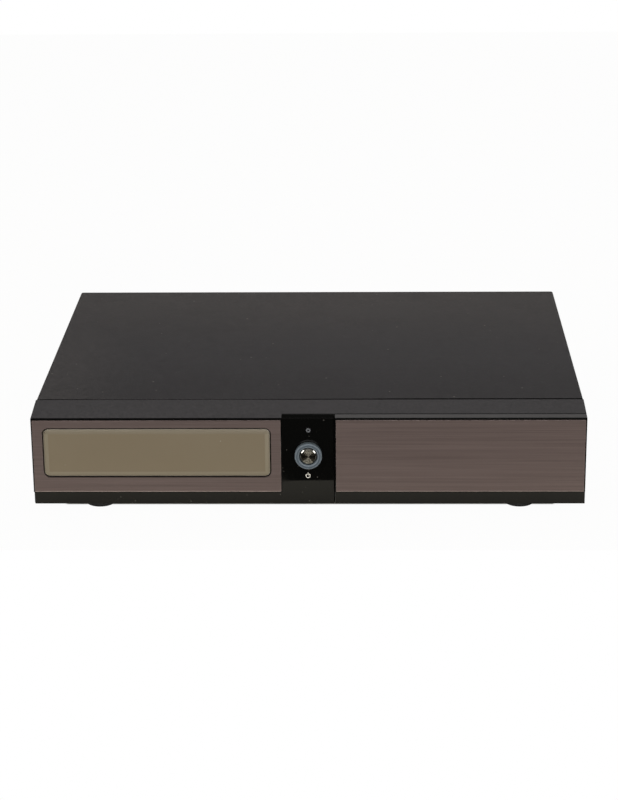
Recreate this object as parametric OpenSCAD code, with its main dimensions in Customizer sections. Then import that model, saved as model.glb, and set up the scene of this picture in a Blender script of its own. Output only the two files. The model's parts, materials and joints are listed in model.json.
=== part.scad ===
// Television decoder box: folded steel cover on a steel chassis, moulded front with a display plate,
// a ringed push button and a drop-down flap, with its boards, disk, fan and sockets inside.
// Lengths are millimetres. The front faces -Y, and the origin is on the table under the middle of the box.

/* [Case] */
// Width of the case
body_w = 340; // [332:1:400]
// Depth from the front plates to the rear edge of the cover
body_d = 265; // [255:1:330]
// Height of the case without its feet
body_h = 59; // [58:1:75]
// Thickness of the sheet metal
sheet_t = 0.8; // [0.6:0.1:1.2]
// Outer radius of the folds along the cover
fold_r = 1.6; // [1.4:0.1:3]
// Width of the cover's flange over the rear panel
rear_flange = 8; // [7.5:0.5:10]
// Height of the chassis side flanges
side_flange = 13; // [8:0.5:16]
// Number of vent slots in each side of the cover
vent_n = 14; // [6:1:18]
// Length of a vent slot
vent_l = 24; // [14:1:28]
// Width of a vent slot
vent_w = 3; // [2:0.5:4]
// Pitch of the vent slots
vent_pitch = 8; // [6:0.5:9]

/* [Feet] */
// Height of the feet
foot_h = 7; // [5:0.5:12]
// Radius of a foot at its lower edge
foot_r = 9.2; // [8.6:0.1:9.6]
// How much wider a foot is at its top
foot_flare = 1; // [0.5:0.1:1.2]
// Distance of the feet from the sides of the case
foot_in = 39; // [34:1:60]
// Distance of the front feet from the front plates
foot_front = 20.5; // [20:0.5:24]
// Distance of the rear feet from the rear edge
foot_back = 28; // [20:1:40]
// Radius of the rubber pad under a foot
pad_r = 7.4; // [6:0.1:7.8]
// Thickness of the rubber pad
pad_t = 2; // [1.5:0.1:2.5]

/* [Front] */
// Depth of the sloping strip along the top of the front
rail_d = 26.8; // [25:0.1:34]
// Drop of the sloping strip from back to front
rail_drop = 3.1; // [2:0.1:4]
// Height of the gloss strip below the plates
sill_h = 8; // [8:0.1:10]
// Thickness of the brushed plates
plate_t = 1; // [0.8:0.1:1.4]
// Moulding left showing beside the plates
plate_edge = 0.7; // [0.5:0.1:1.5]
// Thickness of the moulded walls
wall = 2.2; // [1.8:0.1:2.6]
// Thickness of the gloss fascia
gloss_t = 1.6; // [1.4:0.1:2]
// Set-back of the gloss fascia behind the plates
gloss_set = 0.8; // [0.5:0.1:1.2]
// Width of the gloss centre
centre_w = 32; // [30:0.5:40]
// Seam between the cover and the front, and between plates
seam = 0.5; // [0.3:0.1:0.8]
// Dark groove above the plates
groove = 0.8; // [0.4:0.1:1]
// Thin lip of the moulding above that groove
lip = 0.4; // [0.3:0.1:0.6]
// Depth of the gloss and flap lips under the sloping strip
flap_t = 6; // [5.8:0.1:7]

/* [Display window] */
// Margin from the outer end of the plate to the window
window_left = 7.3; // [6:0.1:12]
// Margin from the window to the gloss centre
window_right = 7.2; // [5:0.1:12]
// Height of the window
window_h = 30.6; // [26:0.1:32]
// Height of the window's middle above the underside of the case
window_z = 33.6; // [33:0.1:35]
// Corner radius of the window
window_r = 3.4; // [2.5:0.1:5]
// Width of the bevelled border
bevel_w = 3; // [2:0.1:4]
// Depth of the bevelled border
bevel_d = 0.9; // [0.5:0.1:1.2]
// Groove around the window
window_gap = 0.6; // [0.3:0.05:0.7]
// Width of the flange behind the window
window_flange = 2.5; // [1.5:0.1:2.6]
// Width of the fluorescent display behind the window
vfd_w = 112; // [90:1:120]
// Height of the fluorescent display
vfd_h = 22; // [18:1:23]

/* [Power button] */
// Height of the button above the underside of the case
button_z = 32.3; // [30:0.1:34]
// Outer diameter of the ring
ring_od = 16.9; // [15:0.1:19]
// Inner diameter of the ring
ring_id = 11; // [9.6:0.1:12]
// How far the ring stands out from the plates
ring_proud = 3.4; // [2.4:0.1:5]
// Gap between the button and the ring
cap_gap = 0.25; // [0.15:0.05:0.4]
// Set-back of the button's rim behind the ring
cap_set = 0.4; // [0.2:0.1:1]
// Depth of the dish in the button
dish_depth = 0.3; // [0.2:0.1:1.4]
// Travel of the button
button_travel = 1; // [0.6:0.1:1.2]
// Diameter of the status light
led_d = 3; // [2.8:0.1:4]
// Height of the status light above the underside of the case
led_z = 48.15; // [47.5:0.1:49]

/* [Flap] */
// Height of the flap's hinge line above the underside of the case
hinge_z = 3.5; // [3.3:0.1:3.8]
// Distance of the hinge line behind the plates
hinge_y = 5.5; // [5.3:0.1:5.8]
// Radius of the hinge pins
pin_r = 1; // [0.8:0.05:1.1]
// Width of each hinge lug
lug_w = 4; // [3:0.1:5]
// Radius of each hinge lug
lug_r = 2; // [1.8:0.05:2.1]
// Thickness of the flap's front wall
flap_wall = 2; // [1.6:0.1:2.1]
// Thickness of the flap's rims
flap_rim = 1.6; // [1.2:0.1:2]
// Gap between the flap and the gloss centre
flap_gap = 0.8; // [0.5:0.1:1.2]
// Gap between the flap's lip and the sloping strip
flap_seam = 0.4; // [0.3:0.1:0.8]
// Radius of the catch magnet and its strike plate
magnet_r = 3.5; // [2.5:0.1:4]
// Height of the catch above the underside of the case
catch_z = 49; // [48:0.1:50]
// Room kept round the flap's lower edge as it turns
sweep_gap = 0.76; // [0.5:0.02:1]

/* [Module bay] */
// Distance of the bay's inner face behind the plates
bay_depth = 14; // [13.6:0.1:15]
// Thickness of the bay's inner face
bay_t = 2; // [1.5:0.1:2.2]
// Middle of the module cage, across the case
ci_x = 60; // [54:1:66]
// Width of a module slot
ci_w = 54.6; // [54.2:0.1:56]
// Height of a module slot
ci_h = 5.4; // [5.2:0.1:6]
// Pitch of the two module slots
ci_pitch = 10.6; // [10:0.1:12]
// Depth of the module cage
ci_l = 88; // [80:1:95]
// Travel of the eject rods
eject_travel = 4; // [2:0.5:6]
// Middle of the data socket, across the case
usb_x = 135; // [130:1:140]

/* [Boards] */
// Height of the board standoffs
standoff_h = 6; // [5.6:0.1:8]
// Thickness of the circuit boards
board_t = 1.6; // [1.2:0.1:2]
// Distance of the main board from the right side of the case
main_in = 8; // [6:0.5:12]
// Width of the main board
main_w = 172; // [154:0.5:180]
// Distance of the main board behind the plates
main_y0 = 18.5; // [18.2:0.1:20]
// Distance of the screws from the edges of the boards
screw_in = 4; // [3.8:0.1:4.2]
// Radius of the screw shanks
screw_r = 1.4; // [1.2:0.05:1.6]
// Number of fins on the processor's heatsink
fin_n = 9; // [5:1:12]
// Width of the processor's heatsink
sink_w = 38; // [30:1:40]

/* [Rear sockets] */
// How far the aerial sockets stand out from the rear panel
f_out = 11; // [9:0.5:13]
// Radius of the aerial sockets
f_r = 4.75; // [4.6:0.05:4.8]
// Pitch of the two aerial sockets on a tuner
f_pitch = 16; // [15:0.5:18]
// Width of a tuner
tuner_w = 18; // [16:0.5:20]
// Height of a tuner
tuner_h = 34.6; // [32:0.1:38]
// Pitch of the audio and video sockets
rca_pitch = 13; // [12:0.1:13.2]
// Width of the twin scart block
scart_w = 47; // [46:0.5:48]
// Height of the twin scart block
scart_h = 36; // [32:0.5:38]

/* [Power supply] */
// Distance of the power board and the disk from the left side of the case
power_in = 10; // [8:0.5:14]
// Width of the power board
power_w = 98; // [70:1:100]
// Depth of the power board
power_d = 108; // [100:1:116]
// Radius of the mains capacitors
mains_cap_r = 8; // [6:0.5:9]
// Height of the mains capacitors
mains_cap_h = 32; // [20:1:36]
// Tilt of the rocker to each side
rocker_tilt = 8; // [6:0.5:10]

/* [Disk and fan] */
// Length of the disk across the case
disk_l = 100.3; // [96:0.1:104]
// Width of the disk from front to back
disk_w = 69.9; // [66:0.1:74]
// Height of the disk
disk_h = 15; // [9.5:0.1:19]
// Side of the fan
fan_w = 40; // [40:1:42]
// Thickness of the fan
fan_t = 10; // [9:0.5:12]
// Number of fan blades
blade_n = 7; // [5:1:9]
// Pitch angle of the fan blades
blade_pitch = 38; // [30:1:45]

/* [Fits] */
// Clearance of a sliding or turning fit, on the radius
run_gap = 0.05; // [0.03:0.01:0.08]
// Clearance between pieces that are put together
fit = 0.1; // [0.05:0.05:0.2]
// Clearance of a socket in its cut-out
cut_gap = 0.3; // [0.2:0.05:0.4]

/* [Hidden] */
$fn = 48;

// Planes of the case
half = body_w / 2;
base = foot_h;
top = base + body_h;
edge_z = top - rail_drop;
floor_z = base + sheet_t;
sill_z = base + sill_h;
cover_y0 = rail_d + seam;
panel_y = body_d - sheet_t;
panel_in = panel_y - sheet_t;
chassis_half = half - sheet_t - fit;
panel_half = chassis_half - sheet_t - fit;
y_mid = (panel_y + f_out - ring_proud) / 2;
function rail_z(y) = edge_z + rail_drop * y / rail_d;

// Tongue of the front moulding under the cover
tongue_gap = 0.3;
tongue_t = 1.4;
tongue_l = 4;
tongue_y1 = cover_y0 + tongue_l;
tongue_in = sheet_t + tongue_gap + tongue_t;

// Gloss centre and the stack of pieces behind its button
gloss_x0 = -(centre_w + flap_gap) / 2;
gloss_x1 = gloss_x0 + centre_w;
flap_x0 = gloss_x1 + flap_gap;
sill_inset = 0.5;
gloss_back = gloss_set + gloss_t;
flange_t = 1.3;
clamp_y = gloss_back + flange_t;
plunger_play = 0.3;
plunger_t = 1.2;
plunger_y = clamp_y + plunger_play;
stop_gap = 0.4;
centre_y = plunger_y + plunger_t + button_travel + stop_gap;
centre_back = centre_y + wall;
stem_out = 0.8;
stem_y = centre_back + stem_out;
stem_r = 2.5;
actuator_l = 1.4;
actuator_r = 1.7;
actuator_in = 1.2;
switch_h = 3;
board_y = stem_y + actuator_l + switch_h;
push_z = base + button_z;
cap_r = ring_id / 2 - cap_gap;
ring_flange_r = ring_od / 2 + 1.5;
plunger_r = ring_id / 2 + 1.5;
boss_in = plunger_r + 0.8;
lamp_z = base + led_z;
lamp_r = led_d / 2;
lamp_flange = lamp_r + 1;

// Window in the display plate
window_x0 = -half + window_left;
window_x1 = gloss_x0 - window_right;
window_mid = base + window_z;
window_lo = window_mid - window_h / 2;
window_hi = window_mid + window_h / 2;
window_set = 0.2;
front_back = plate_t + wall;
window_flange_t = 1.2;
vfd_x = (window_x0 + window_x1) / 2;
vfd_t = 6.5;
vfd_side = 12.5;
vfd_wide = min(vfd_w, window_x1 - window_x0 - 2 * vfd_side);

// Flap, its hinge and its catch
rail_y = flap_t + flap_seam;
hinge_at = [hinge_y, base + hinge_z];
swing_r = norm([flap_t - hinge_y, hinge_z]);
bay_front = hinge_y + swing_r + sweep_gap;
clear_z = base + hinge_z + swing_r + sweep_gap;
flap_back = plate_t + flap_wall;
centre_end = flap_x0 - flap_seam;
lug_end = 6;
lug_gap = 0.5;
frame_lugs = [flap_x0 + lug_end, half - lug_end];
flap_lugs = [frame_lugs[0] + lug_w + lug_gap, frame_lugs[1] - lug_w - lug_gap];
catch_x = (flap_x0 + half) / 2;
catch_at = [catch_x, base + catch_z];
strike_t = 1;
catch_gap = 0.4;
magnet_t = 4;
magnet_y = flap_back + strike_t + catch_gap;
post_t = 4;

// Shelf along the foot of the front moulding, and its screws
shelf_z0 = base + 4;
shelf_z1 = shelf_z0 + 2;
chassis_y0 = bay_front + wall + 0.4;
frame_screw_y = chassis_y0 + 4.6;
frame_boss_r = 3;
shelf_y1 = frame_screw_y + frame_boss_r + 1;
shelf_x = [-half + wall / 2, gloss_x0 - wall / 2, flap_x0 + wall / 2, half - wall / 2];
frame_screw_x = [20 - half, -40, 60, half - 20];
head_r = 2.8;
head_h = 1.6;

// Boards
main_z = floor_z + standoff_h;
main_top = main_z + board_t;
main_x1 = half - main_in;
main_x0 = main_x1 - main_w;
main_y1 = panel_in - 1.5;
bay_back = bay_depth + bay_t;
front_board_x0 = vfd_x - vfd_wide / 2 - 6;
front_board_x1 = flap_x0 - 2.4;
front_board_z0 = base + 9;
front_board_z1 = base + 53;
front_post_x = [front_board_x0 + 8, -40];
front_post = 6;
front_post_l = 5;
front_screw_in = 3.5;
front_screw_z = [front_board_z0 + front_screw_in, front_board_z1 - front_screw_in];

function arc(c, r, a0, a1, n) = [for (i = [0:n]) let (a = a0 + (a1 - a0) * i / n) c + r * [cos(a), sin(a)]];
function rev(p) = [for (i = [len(p) - 1:-1:0]) p[i]];
function round_rect(lo, hi, r, n = 6) = concat(
    arc(hi - [r, r], r, 0, 90, n), arc([lo.x + r, hi.y - r], r, 90, 180, n),
    arc(lo + [r, r], r, 180, 270, n), arc([hi.x - r, lo.y + r], r, 270, 360, n));
// A slot with round ends: its middle, its width across and its length along the second axis
function slot(at, w, l, n = 4) = concat(arc(at + [0, l - w] / 2, w / 2, 0, 180, n),
    arc(at - [0, l - w] / 2, w / 2, 180, 360, n));
// Outline of the cover's cross-section, set in by a distance, from one lower edge to the other
function hood(inset, z0) =
    let (r = max(fold_r - inset, 0.3), x = half - inset, z = top - inset)
    concat([[x, z0]], arc([x - r, z - r], r, 0, 90, 5), arc([r - x, z - r], r, 90, 180, 5), [[-x, z0]]);
function hood_band(inset, t, z0) = concat(hood(inset, z0), rev(hood(inset + t, z0)));

module seat() translate([0, -y_mid, 0]) children();
module block(lo, hi) translate(lo) cube(hi - lo);
module along_x(x0, x1) translate([x0, 0, 0]) rotate([90, 0, 90]) linear_extrude(x1 - x0) children();
module along_y(y0, y1) translate([0, y1, 0]) rotate([90, 0, 0]) linear_extrude(y1 - y0) children();
module along_z(z0, z1) translate([0, 0, z0]) linear_extrude(z1 - z0) children();
module rod_x(at, r, x0, x1) translate([x0, at[0], at[1]]) rotate([0, 90, 0]) cylinder(r = r, h = x1 - x0);
module rod_y(at, r, y0, y1) translate([at[0], y1, at[1]]) rotate([90, 0, 0]) cylinder(r = r, h = y1 - y0);
module rod_z(at, r, z0, z1) translate([at[0], at[1], z0]) cylinder(r = r, h = z1 - z0);
// A piece turned about an axis along Y, from points of radius and distance behind the plates
module turned(at, points) translate([at[0], 0, at[1]]) rotate([90, 0, 0])
    rotate_extrude() polygon([for (p = points) [p[0], -p[1]]]);
// A pan-head screw along Z, seated at the origin with its shank going up
module screw(length, r = screw_r) {
    translate([0, 0, -head_h]) cylinder(r1 = head_r * 0.8, r2 = head_r, h = head_h);
    cylinder(r = r, h = length);
}

// Case
cover_screw_pitch = half - 60;
cover_screw_x = [-cover_screw_pitch, 0, cover_screw_pitch];
cover_screw_z = top - sheet_t - rear_flange / 2;
cover_screw_l = 7;
vent_y0 = body_d / 2 - (vent_n - 1) * vent_pitch / 2;
vent_z = base + body_h / 2;

module top_cover() color("#3e3c3d") seat() difference() {
    union() {
        along_y(cover_y0, body_d) polygon(hood_band(0, sheet_t, base));
        along_y(panel_y, body_d) polygon(hood_band(0, rear_flange, base));
    }
    for (i = [0:vent_n - 1])
        along_x(-half - 1, half + 1) polygon(slot([vent_y0 + i * vent_pitch, vent_z], vent_w, vent_l));
    for (x = cover_screw_x) rod_y([x, cover_screw_z], screw_r + fit, panel_y - 1, body_d + 1);
}

floor_front = half - tongue_in - tongue_gap;
floor_step = tongue_y1 + seam;
lip_h = 3.4;
floor_vents = [[main_x0 + 30, main_y0 + 56.5], [main_x0 + 30, panel_in - 68.4],
    [power_in + 20 - half, panel_in - 63.4]];
floor_vent_n = 10;
floor_vent_l = 30;
foot_x = half - foot_in;
foot_y = [foot_front, body_d - foot_back];
foot_hole_r = screw_r + fit;

module at_feet() for (x = [-foot_x, foot_x], y = foot_y) translate([x, y, 0]) children();

module bottom_chassis() color("#77797b") seat() difference() {
    union() {
        along_z(base, floor_z) polygon([[-floor_front, chassis_y0], [floor_front, chassis_y0],
            [floor_front, floor_step], [chassis_half, floor_step], [chassis_half, panel_y],
            [-chassis_half, panel_y], [-chassis_half, floor_step], [-floor_front, floor_step]]);
        block([-floor_front, chassis_y0, base], [floor_front, chassis_y0 + sheet_t, base + lip_h]);
        for (x = [-chassis_half, chassis_half - sheet_t])
            block([x, floor_step, base], [x + sheet_t, panel_y, base + side_flange]);
    }
    for (at = floor_vents, i = [0:floor_vent_n - 1])
        along_z(base - 1, floor_z + 1) polygon(slot(at + [i * vent_pitch, 0], vent_w, floor_vent_l));
    at_feet() rod_z([0, 0], foot_hole_r, base - 1, floor_z + 1);
    for (x = frame_screw_x) rod_z([x, frame_screw_y], foot_hole_r, base - 1, floor_z + 1);
}

// Rear sockets, along the main board's rear edge. What their widths leave over is shared out between them
socket_gaps = [2.5, 1.5, 6, 4.5, 3, 5.5, 7];
hdmi_w = 15;
hdmi_h = 6.2;
hdmi_l = 12;
eth_w = 16;
eth_h = 13.6;
eth_l = 18;
rca_half = rca_pitch + 1;
row_w = hdmi_w + eth_w + 2 * rca_half + scart_w + 2 * tuner_w;
spread = (main_w - row_w) / (socket_gaps * [1, 1, 1, 1, 1, 1, 1]);
hdmi_x = main_x0 + socket_gaps[0] * spread + hdmi_w / 2;
eth_x = hdmi_x + hdmi_w / 2 + socket_gaps[1] * spread + eth_w / 2;
rca_x = eth_x + eth_w / 2 + socket_gaps[2] * spread + rca_half;
scart_x = rca_x + rca_half + socket_gaps[3] * spread + scart_w / 2;
tuner_left = scart_x + scart_w / 2 + socket_gaps[4] * spread + tuner_w / 2;
tuner_x = [tuner_left + tuner_w + socket_gaps[5] * spread, tuner_left];
tuner_l = 58;
rca_r = 4.1;
rca_ring_r = 5.4;
rca_rows = 3;
rca_at = [for (i = [0, 1], k = [0:rca_rows - 1])
    [rca_x + (i - 0.5) * rca_pitch, main_top + rca_pitch * (k + 0.5)]];
scart_l = 24;
scart_out = 1.6;
f_z0 = main_top + 10;
f_at = [for (x = tuner_x, i = [0, 1]) [x, f_z0 + i * f_pitch]];
socket_out = 1.2;

// Mains sockets on the power board's rear edge, and the fan beside the main board
fan_gap = 5;
fan_x = main_x0 - fan_gap - fan_w / 2;
power_x0 = power_in - half;
power_x1 = min(power_x0 + power_w, fan_x - fan_w / 2 - fan_gap);
inlet_x = power_x0 + 20;
inlet_w = 22;
inlet_z = main_top + 9.1;
inlet_h = 18;
switch_x = power_x0 + 48;
switch_z = main_top + 12;
switch_w = 19;
switch_hh = 13.8;
fan_z = base + 27;
fan_screw = 16;
panel_foot = 6;
grille_r = 17;
grille_pitch = 5;
grille_slot = 2.6;

// Opening in the rear panel round a socket
module panel_cut(x, z0, w, h) block([x - w / 2 - cut_gap, panel_in - 1, z0 - cut_gap],
    [x + w / 2 + cut_gap, panel_y + 1, z0 + h + cut_gap]);

module rear_panel() color("#8b8d8f") seat() difference() {
    union() {
        block([-panel_half, panel_in, floor_z], [panel_half, panel_y, top - sheet_t - fit]);
        block([-panel_half, panel_in - panel_foot, floor_z], [panel_half, panel_y, floor_z + sheet_t]);
    }
    for (x = cover_screw_x) rod_y([x, cover_screw_z], screw_r + fit, panel_in - 1, panel_y + 1);
    panel_cut(hdmi_x, main_top, hdmi_w, hdmi_h);
    panel_cut(eth_x, main_top, eth_w, eth_h);
    panel_cut(scart_x, main_top, scart_w, scart_h);
    panel_cut(inlet_x, inlet_z - inlet_h / 2, inlet_w, inlet_h);
    panel_cut(switch_x, switch_z - switch_hh / 2, switch_w, switch_hh);
    for (at = rca_at) rod_y(at, rca_ring_r + cut_gap, panel_in - 1, panel_y + 1);
    for (at = f_at) rod_y(at, f_r + fit, panel_in - 1, panel_y + 1);
    for (i = [-3:3]) let (x = fan_x + i * grille_pitch, l = 2 * sqrt(grille_r ^ 2 - (i * grille_pitch) ^ 2))
        along_y(panel_in - 1, panel_y + 1) polygon(slot([x, fan_z], grille_slot, l));
    for (i = [-1, 1], k = [-1, 1])
        rod_y([fan_x + i * fan_screw, fan_z + k * fan_screw], screw_r + fit, panel_in - 1, panel_y + 1);
}

module rear_screws() color("#2a2a2c") seat() {
    for (x = cover_screw_x) translate([x, body_d, cover_screw_z]) rotate([90, 0, 0]) screw(cover_screw_l);
    for (i = [-1, 1], k = [-1, 1])
        translate([fan_x + i * fan_screw, panel_y, fan_z + k * fan_screw]) rotate([90, 0, 0]) screw(fan_t);
}

pad_proud = 0.5;
bore_r = head_r + 0.4;
seat_h = head_h + 0.2;

module feet() color("#232324") seat() at_feet() rotate_extrude() polygon([
    [foot_hole_r, pad_t + seat_h], [bore_r, pad_t + seat_h], [bore_r, pad_t], [pad_r + fit, pad_t],
    [pad_r + fit, pad_proud], [foot_r - pad_proud, pad_proud], [foot_r, 2 * pad_proud],
    [foot_r + foot_flare, base - pad_proud], [foot_r + foot_flare, base], [foot_hole_r, base]]);

module foot_pads() color("#151515") seat() at_feet() cylinder(r = pad_r, h = pad_t);

module foot_screws() color("#8d8d8f") seat() at_feet()
    translate([0, 0, pad_t + seat_h]) screw(floor_z + 2 - pad_t - seat_h);

// Front moulding
function bay_side(y1) = [[rail_y, clear_z], [rail_y, rail_z(rail_y) - lip], [y1, rail_z(y1) - lip],
    [y1, shelf_z0], [bay_front + wall, shelf_z0], [bay_front + wall, base], [bay_front, base],
    [bay_front, clear_z]];

module hinge_lug(x, y0, y1) {
    rod_x(hinge_at, lug_r, x - lug_w / 2, x + lug_w / 2);
    block([x - lug_w / 2, y0, hinge_at[1] - lug_r], [x + lug_w / 2, y1, hinge_at[1] + lug_r]);
}

// Gap between the flap and the return wall that closes the slit beside the gloss centre
return_gap = 0.25;
module frame_shell() {
    difference() {
        along_x(-half, half) polygon([[0, edge_z - lip], [0, edge_z], [rail_d, top], [rail_d, top - wall],
            [plate_t, rail_z(plate_t) - wall], [plate_t, edge_z - lip]]);
        block([gloss_x0, -1, base], [half + 1, rail_y, top]);
    }
    along_x(-half, wall - half) polygon([[0, sill_z], [0, edge_z - lip / 2], [rail_d, top - lip / 2],
        [rail_d, base],
        [gloss_back, base], [gloss_back, sill_z]]);
    along_x(half - wall, half) polygon([[rail_y, clear_z], [rail_y, rail_z(rail_y) - lip / 2],
        [rail_d, top - lip / 2], [rail_d, base], [bay_front, base], [bay_front, clear_z]]);
    along_x(flap_x0, flap_x0 + wall) polygon(bay_side(bay_back));
    along_y(rail_d - tongue_l, tongue_y1) polygon(hood_band(sheet_t + tongue_gap, tongue_t, base));
    block([-half + sill_inset, plate_t, sill_z], [gloss_x0, front_back, rail_z(plate_t) - lip]);
    block([-half + sill_inset, gloss_back, base], [gloss_x0, gloss_back + wall, sill_z + wall]);
    block([gloss_x0 - wall, plate_t, sill_z], [gloss_x0, centre_back, rail_z(plate_t) - lip]);
    block([gloss_x0 - wall, gloss_back, base], [gloss_x0, centre_back, sill_z + wall]);
    block([gloss_x0 - wall, centre_y, base], [centre_end, centre_back, clear_z + wall]);
    block([gloss_x0 - wall, centre_y, clear_z], [flap_x0 + wall, centre_back, rail_z(centre_y) - lip]);
    block([gloss_x1 - wall / 2, gloss_back, base + fit],
        [flap_x0 - return_gap, centre_y + wall / 2, clear_z + wall / 2]);
}

module frame_fittings() {
    along_z(shelf_z0, shelf_z1) polygon([[shelf_x[0], shelf_y1], [shelf_x[0], gloss_back + wall / 2],
        [shelf_x[1], gloss_back + wall / 2], [shelf_x[1], centre_y + wall / 2],
        [centre_end - fit, centre_y + wall / 2], [centre_end - fit, bay_front + wall / 2],
        [shelf_x[3], bay_front + wall / 2], [shelf_x[3], shelf_y1]]);
    block([shelf_x[2], bay_front + fit, base + fit], [shelf_x[3], bay_front + wall - fit, shelf_z1 - fit]);
    for (x = frame_screw_x) rod_z([x, frame_screw_y], frame_boss_r, floor_z, shelf_z1);
    for (x = frame_lugs) hinge_lug(x, hinge_y, bay_front + wall / 2);
    block([catch_x - magnet_r - 1, magnet_y + magnet_t, catch_at[1] - magnet_r - 1],
        [catch_x + magnet_r + 1, magnet_y + magnet_t + post_t, rail_z(magnet_y) - lip]);
    block([flap_x0 + wall / 2, bay_back, top - 6],
        [half - wall / 2, bay_back + bay_t, rail_z(bay_back) - lip]);
    block([flap_x0 + wall / 2, bay_back, shelf_z0], [half - wall / 2, bay_back + bay_t, shelf_z1 + 2]);
    for (x = front_post_x) {
        block([x - front_post / 2, board_y - front_post_l, shelf_z0],
            [x + front_post / 2, board_y, front_screw_z[0] + front_post / 2]);
        block([x - front_post / 2, board_y - front_post_l, front_screw_z[1] - front_post / 2],
            [x + front_post / 2, board_y, rail_z(board_y - front_post_l) - lip]);
    }
    rod_y([0, push_z], ring_flange_r, clamp_y, centre_y + wall / 2);
    rod_y([0, lamp_z], lamp_flange, clamp_y, centre_y + wall / 2);
}

module front_frame() color("#2b2a2a") seat() difference() {
    union() {
        frame_shell();
        frame_fittings();
    }
    block([plate_edge - half - fit, -1, sill_z - 1], [gloss_x0 + 1, plate_t, edge_z - lip]);
    along_y(0, front_back + 1) polygon(round_rect([window_x0 - window_gap, window_lo - window_gap],
        [window_x1 + window_gap, window_hi + window_gap], window_r + window_gap));
    rod_y([0, push_z], boss_in, clamp_y - 1, centre_y);
    rod_y([0, push_z], stem_r + fit, centre_y - 1, centre_back + 1);
    rod_y([0, lamp_z], lamp_r + fit, clamp_y - 1, centre_back + 1);
    for (x = frame_screw_x) rod_z([x, frame_screw_y], screw_r + fit, floor_z - 1, shelf_z1 + 1);
    for (x = frame_lugs) rod_x(hinge_at, pin_r, x - lug_w, x + lug_w);
    for (x = front_post_x, z = front_screw_z)
        rod_y([x, z], screw_r + fit, board_y - front_post_l - 1, board_y + 1);
}

module frame_screws() color("#8d8d8f") seat()
    for (x = frame_screw_x) translate([x, frame_screw_y, base]) screw(shelf_z0 - base);

module gloss_fascia() color("#0d0d0c") seat() difference() {
    union() {
        block([gloss_x0, gloss_set, base], [gloss_x1, gloss_back, edge_z - lip]);
        along_x(gloss_x0, gloss_x1) polygon([[gloss_set, edge_z - gloss_t], [gloss_set, rail_z(gloss_set)],
            [flap_t, rail_z(flap_t)], [flap_t, rail_z(flap_t) - gloss_t],
            [gloss_back, rail_z(gloss_back) - gloss_t]]);
        block([-half + sill_inset, gloss_set, base], [gloss_x1, gloss_back, sill_z - fit]);
    }
    rod_y([0, push_z], ring_od / 2 + fit, -1, gloss_back + 1);
    rod_y([0, lamp_z], lamp_r + fit, -1, gloss_back + 1);
}

// Brushed plate with a chamfered lower edge
plate_chamfer = 0.5;
module brushed_plate(x0, x1) along_x(x0, x1) polygon([[0, sill_z + plate_chamfer], [0, edge_z - lip - groove],
    [plate_t, edge_z - lip - groove], [plate_t, sill_z], [plate_chamfer, sill_z]]);

module display_plate() color("#5c504c") seat() difference() {
    brushed_plate(-half + plate_edge, gloss_x0 - seam);
    along_y(-1, plate_t + 1) polygon(round_rect([window_x0 - window_gap, window_lo - window_gap],
        [window_x1 + window_gap, window_hi + window_gap], window_r + window_gap));
}

// Half-section of the bevelled window: distance behind the plates against position across it
function bevelled(lo, hi) = [[window_set, lo + bevel_w], [window_set, hi - bevel_w],
    [window_set + bevel_d, hi],
    [front_back, hi], [front_back, lo], [window_set + bevel_d, lo]];

module display_window() color("#786e5a") seat() {
    intersection() {
        along_y(0, front_back) polygon(round_rect([window_x0, window_lo], [window_x1, window_hi], window_r));
        along_x(window_x0, window_x1) polygon(bevelled(window_lo, window_hi));
        along_z(window_lo, window_hi) polygon([for (p = bevelled(window_x0, window_x1)) [p[1], p[0]]]);
    }
    along_y(front_back, front_back + window_flange_t) polygon(round_rect(
        [window_x0 - window_flange, window_lo - window_flange],
        [window_x1 + window_flange, window_hi + window_flange], window_r));
}

edge_r = 0.6;
module light_ring() color("#696e76") seat() turned([0, push_z], [[ring_id / 2, edge_r - ring_proud],
    [ring_id / 2 + edge_r, -ring_proud], [ring_od / 2 - edge_r, -ring_proud],
    [ring_od / 2, edge_r - ring_proud],
    [ring_od / 2, gloss_back], [ring_flange_r, gloss_back], [ring_flange_r, clamp_y],
    [ring_id / 2, clamp_y]]);

rim_y = cap_set - ring_proud;
rim_r = cap_r - edge_r;
dish_r = (rim_r ^ 2 + dish_depth ^ 2) / (2 * dish_depth);
dish_n = 8;
function dish_y(r) = rim_y + sqrt(dish_r ^ 2 - r ^ 2) - dish_r + dish_depth;

module power_button() color("#8a8880") seat() turned([0, push_z], concat(
    [for (i = [0:dish_n]) let (r = rim_r * i / dish_n) [r, dish_y(r)]],
    [[cap_r, rim_y + edge_r], [cap_r, plunger_y], [0, plunger_y]]));

module button_plunger() color("#d8d8d2") seat() {
    rod_y([0, push_z], plunger_r, plunger_y, plunger_y + plunger_t);
    rod_y([0, push_z], stem_r, plunger_y, stem_y);
}

module switch_actuator() color("#1c1c1c") seat()
    rod_y([0, push_z], actuator_r, stem_y, stem_y + actuator_l + actuator_in);

module status_lens() color("#9aa0a6") seat() {
    rod_y([0, lamp_z], lamp_r, gloss_set - 0.3, gloss_back);
    rod_y([0, lamp_z], lamp_flange, gloss_back, clamp_y);
    rod_y([0, lamp_z], lamp_r, clamp_y, board_y - lamp_l);
}
lamp_l = 4;

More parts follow.
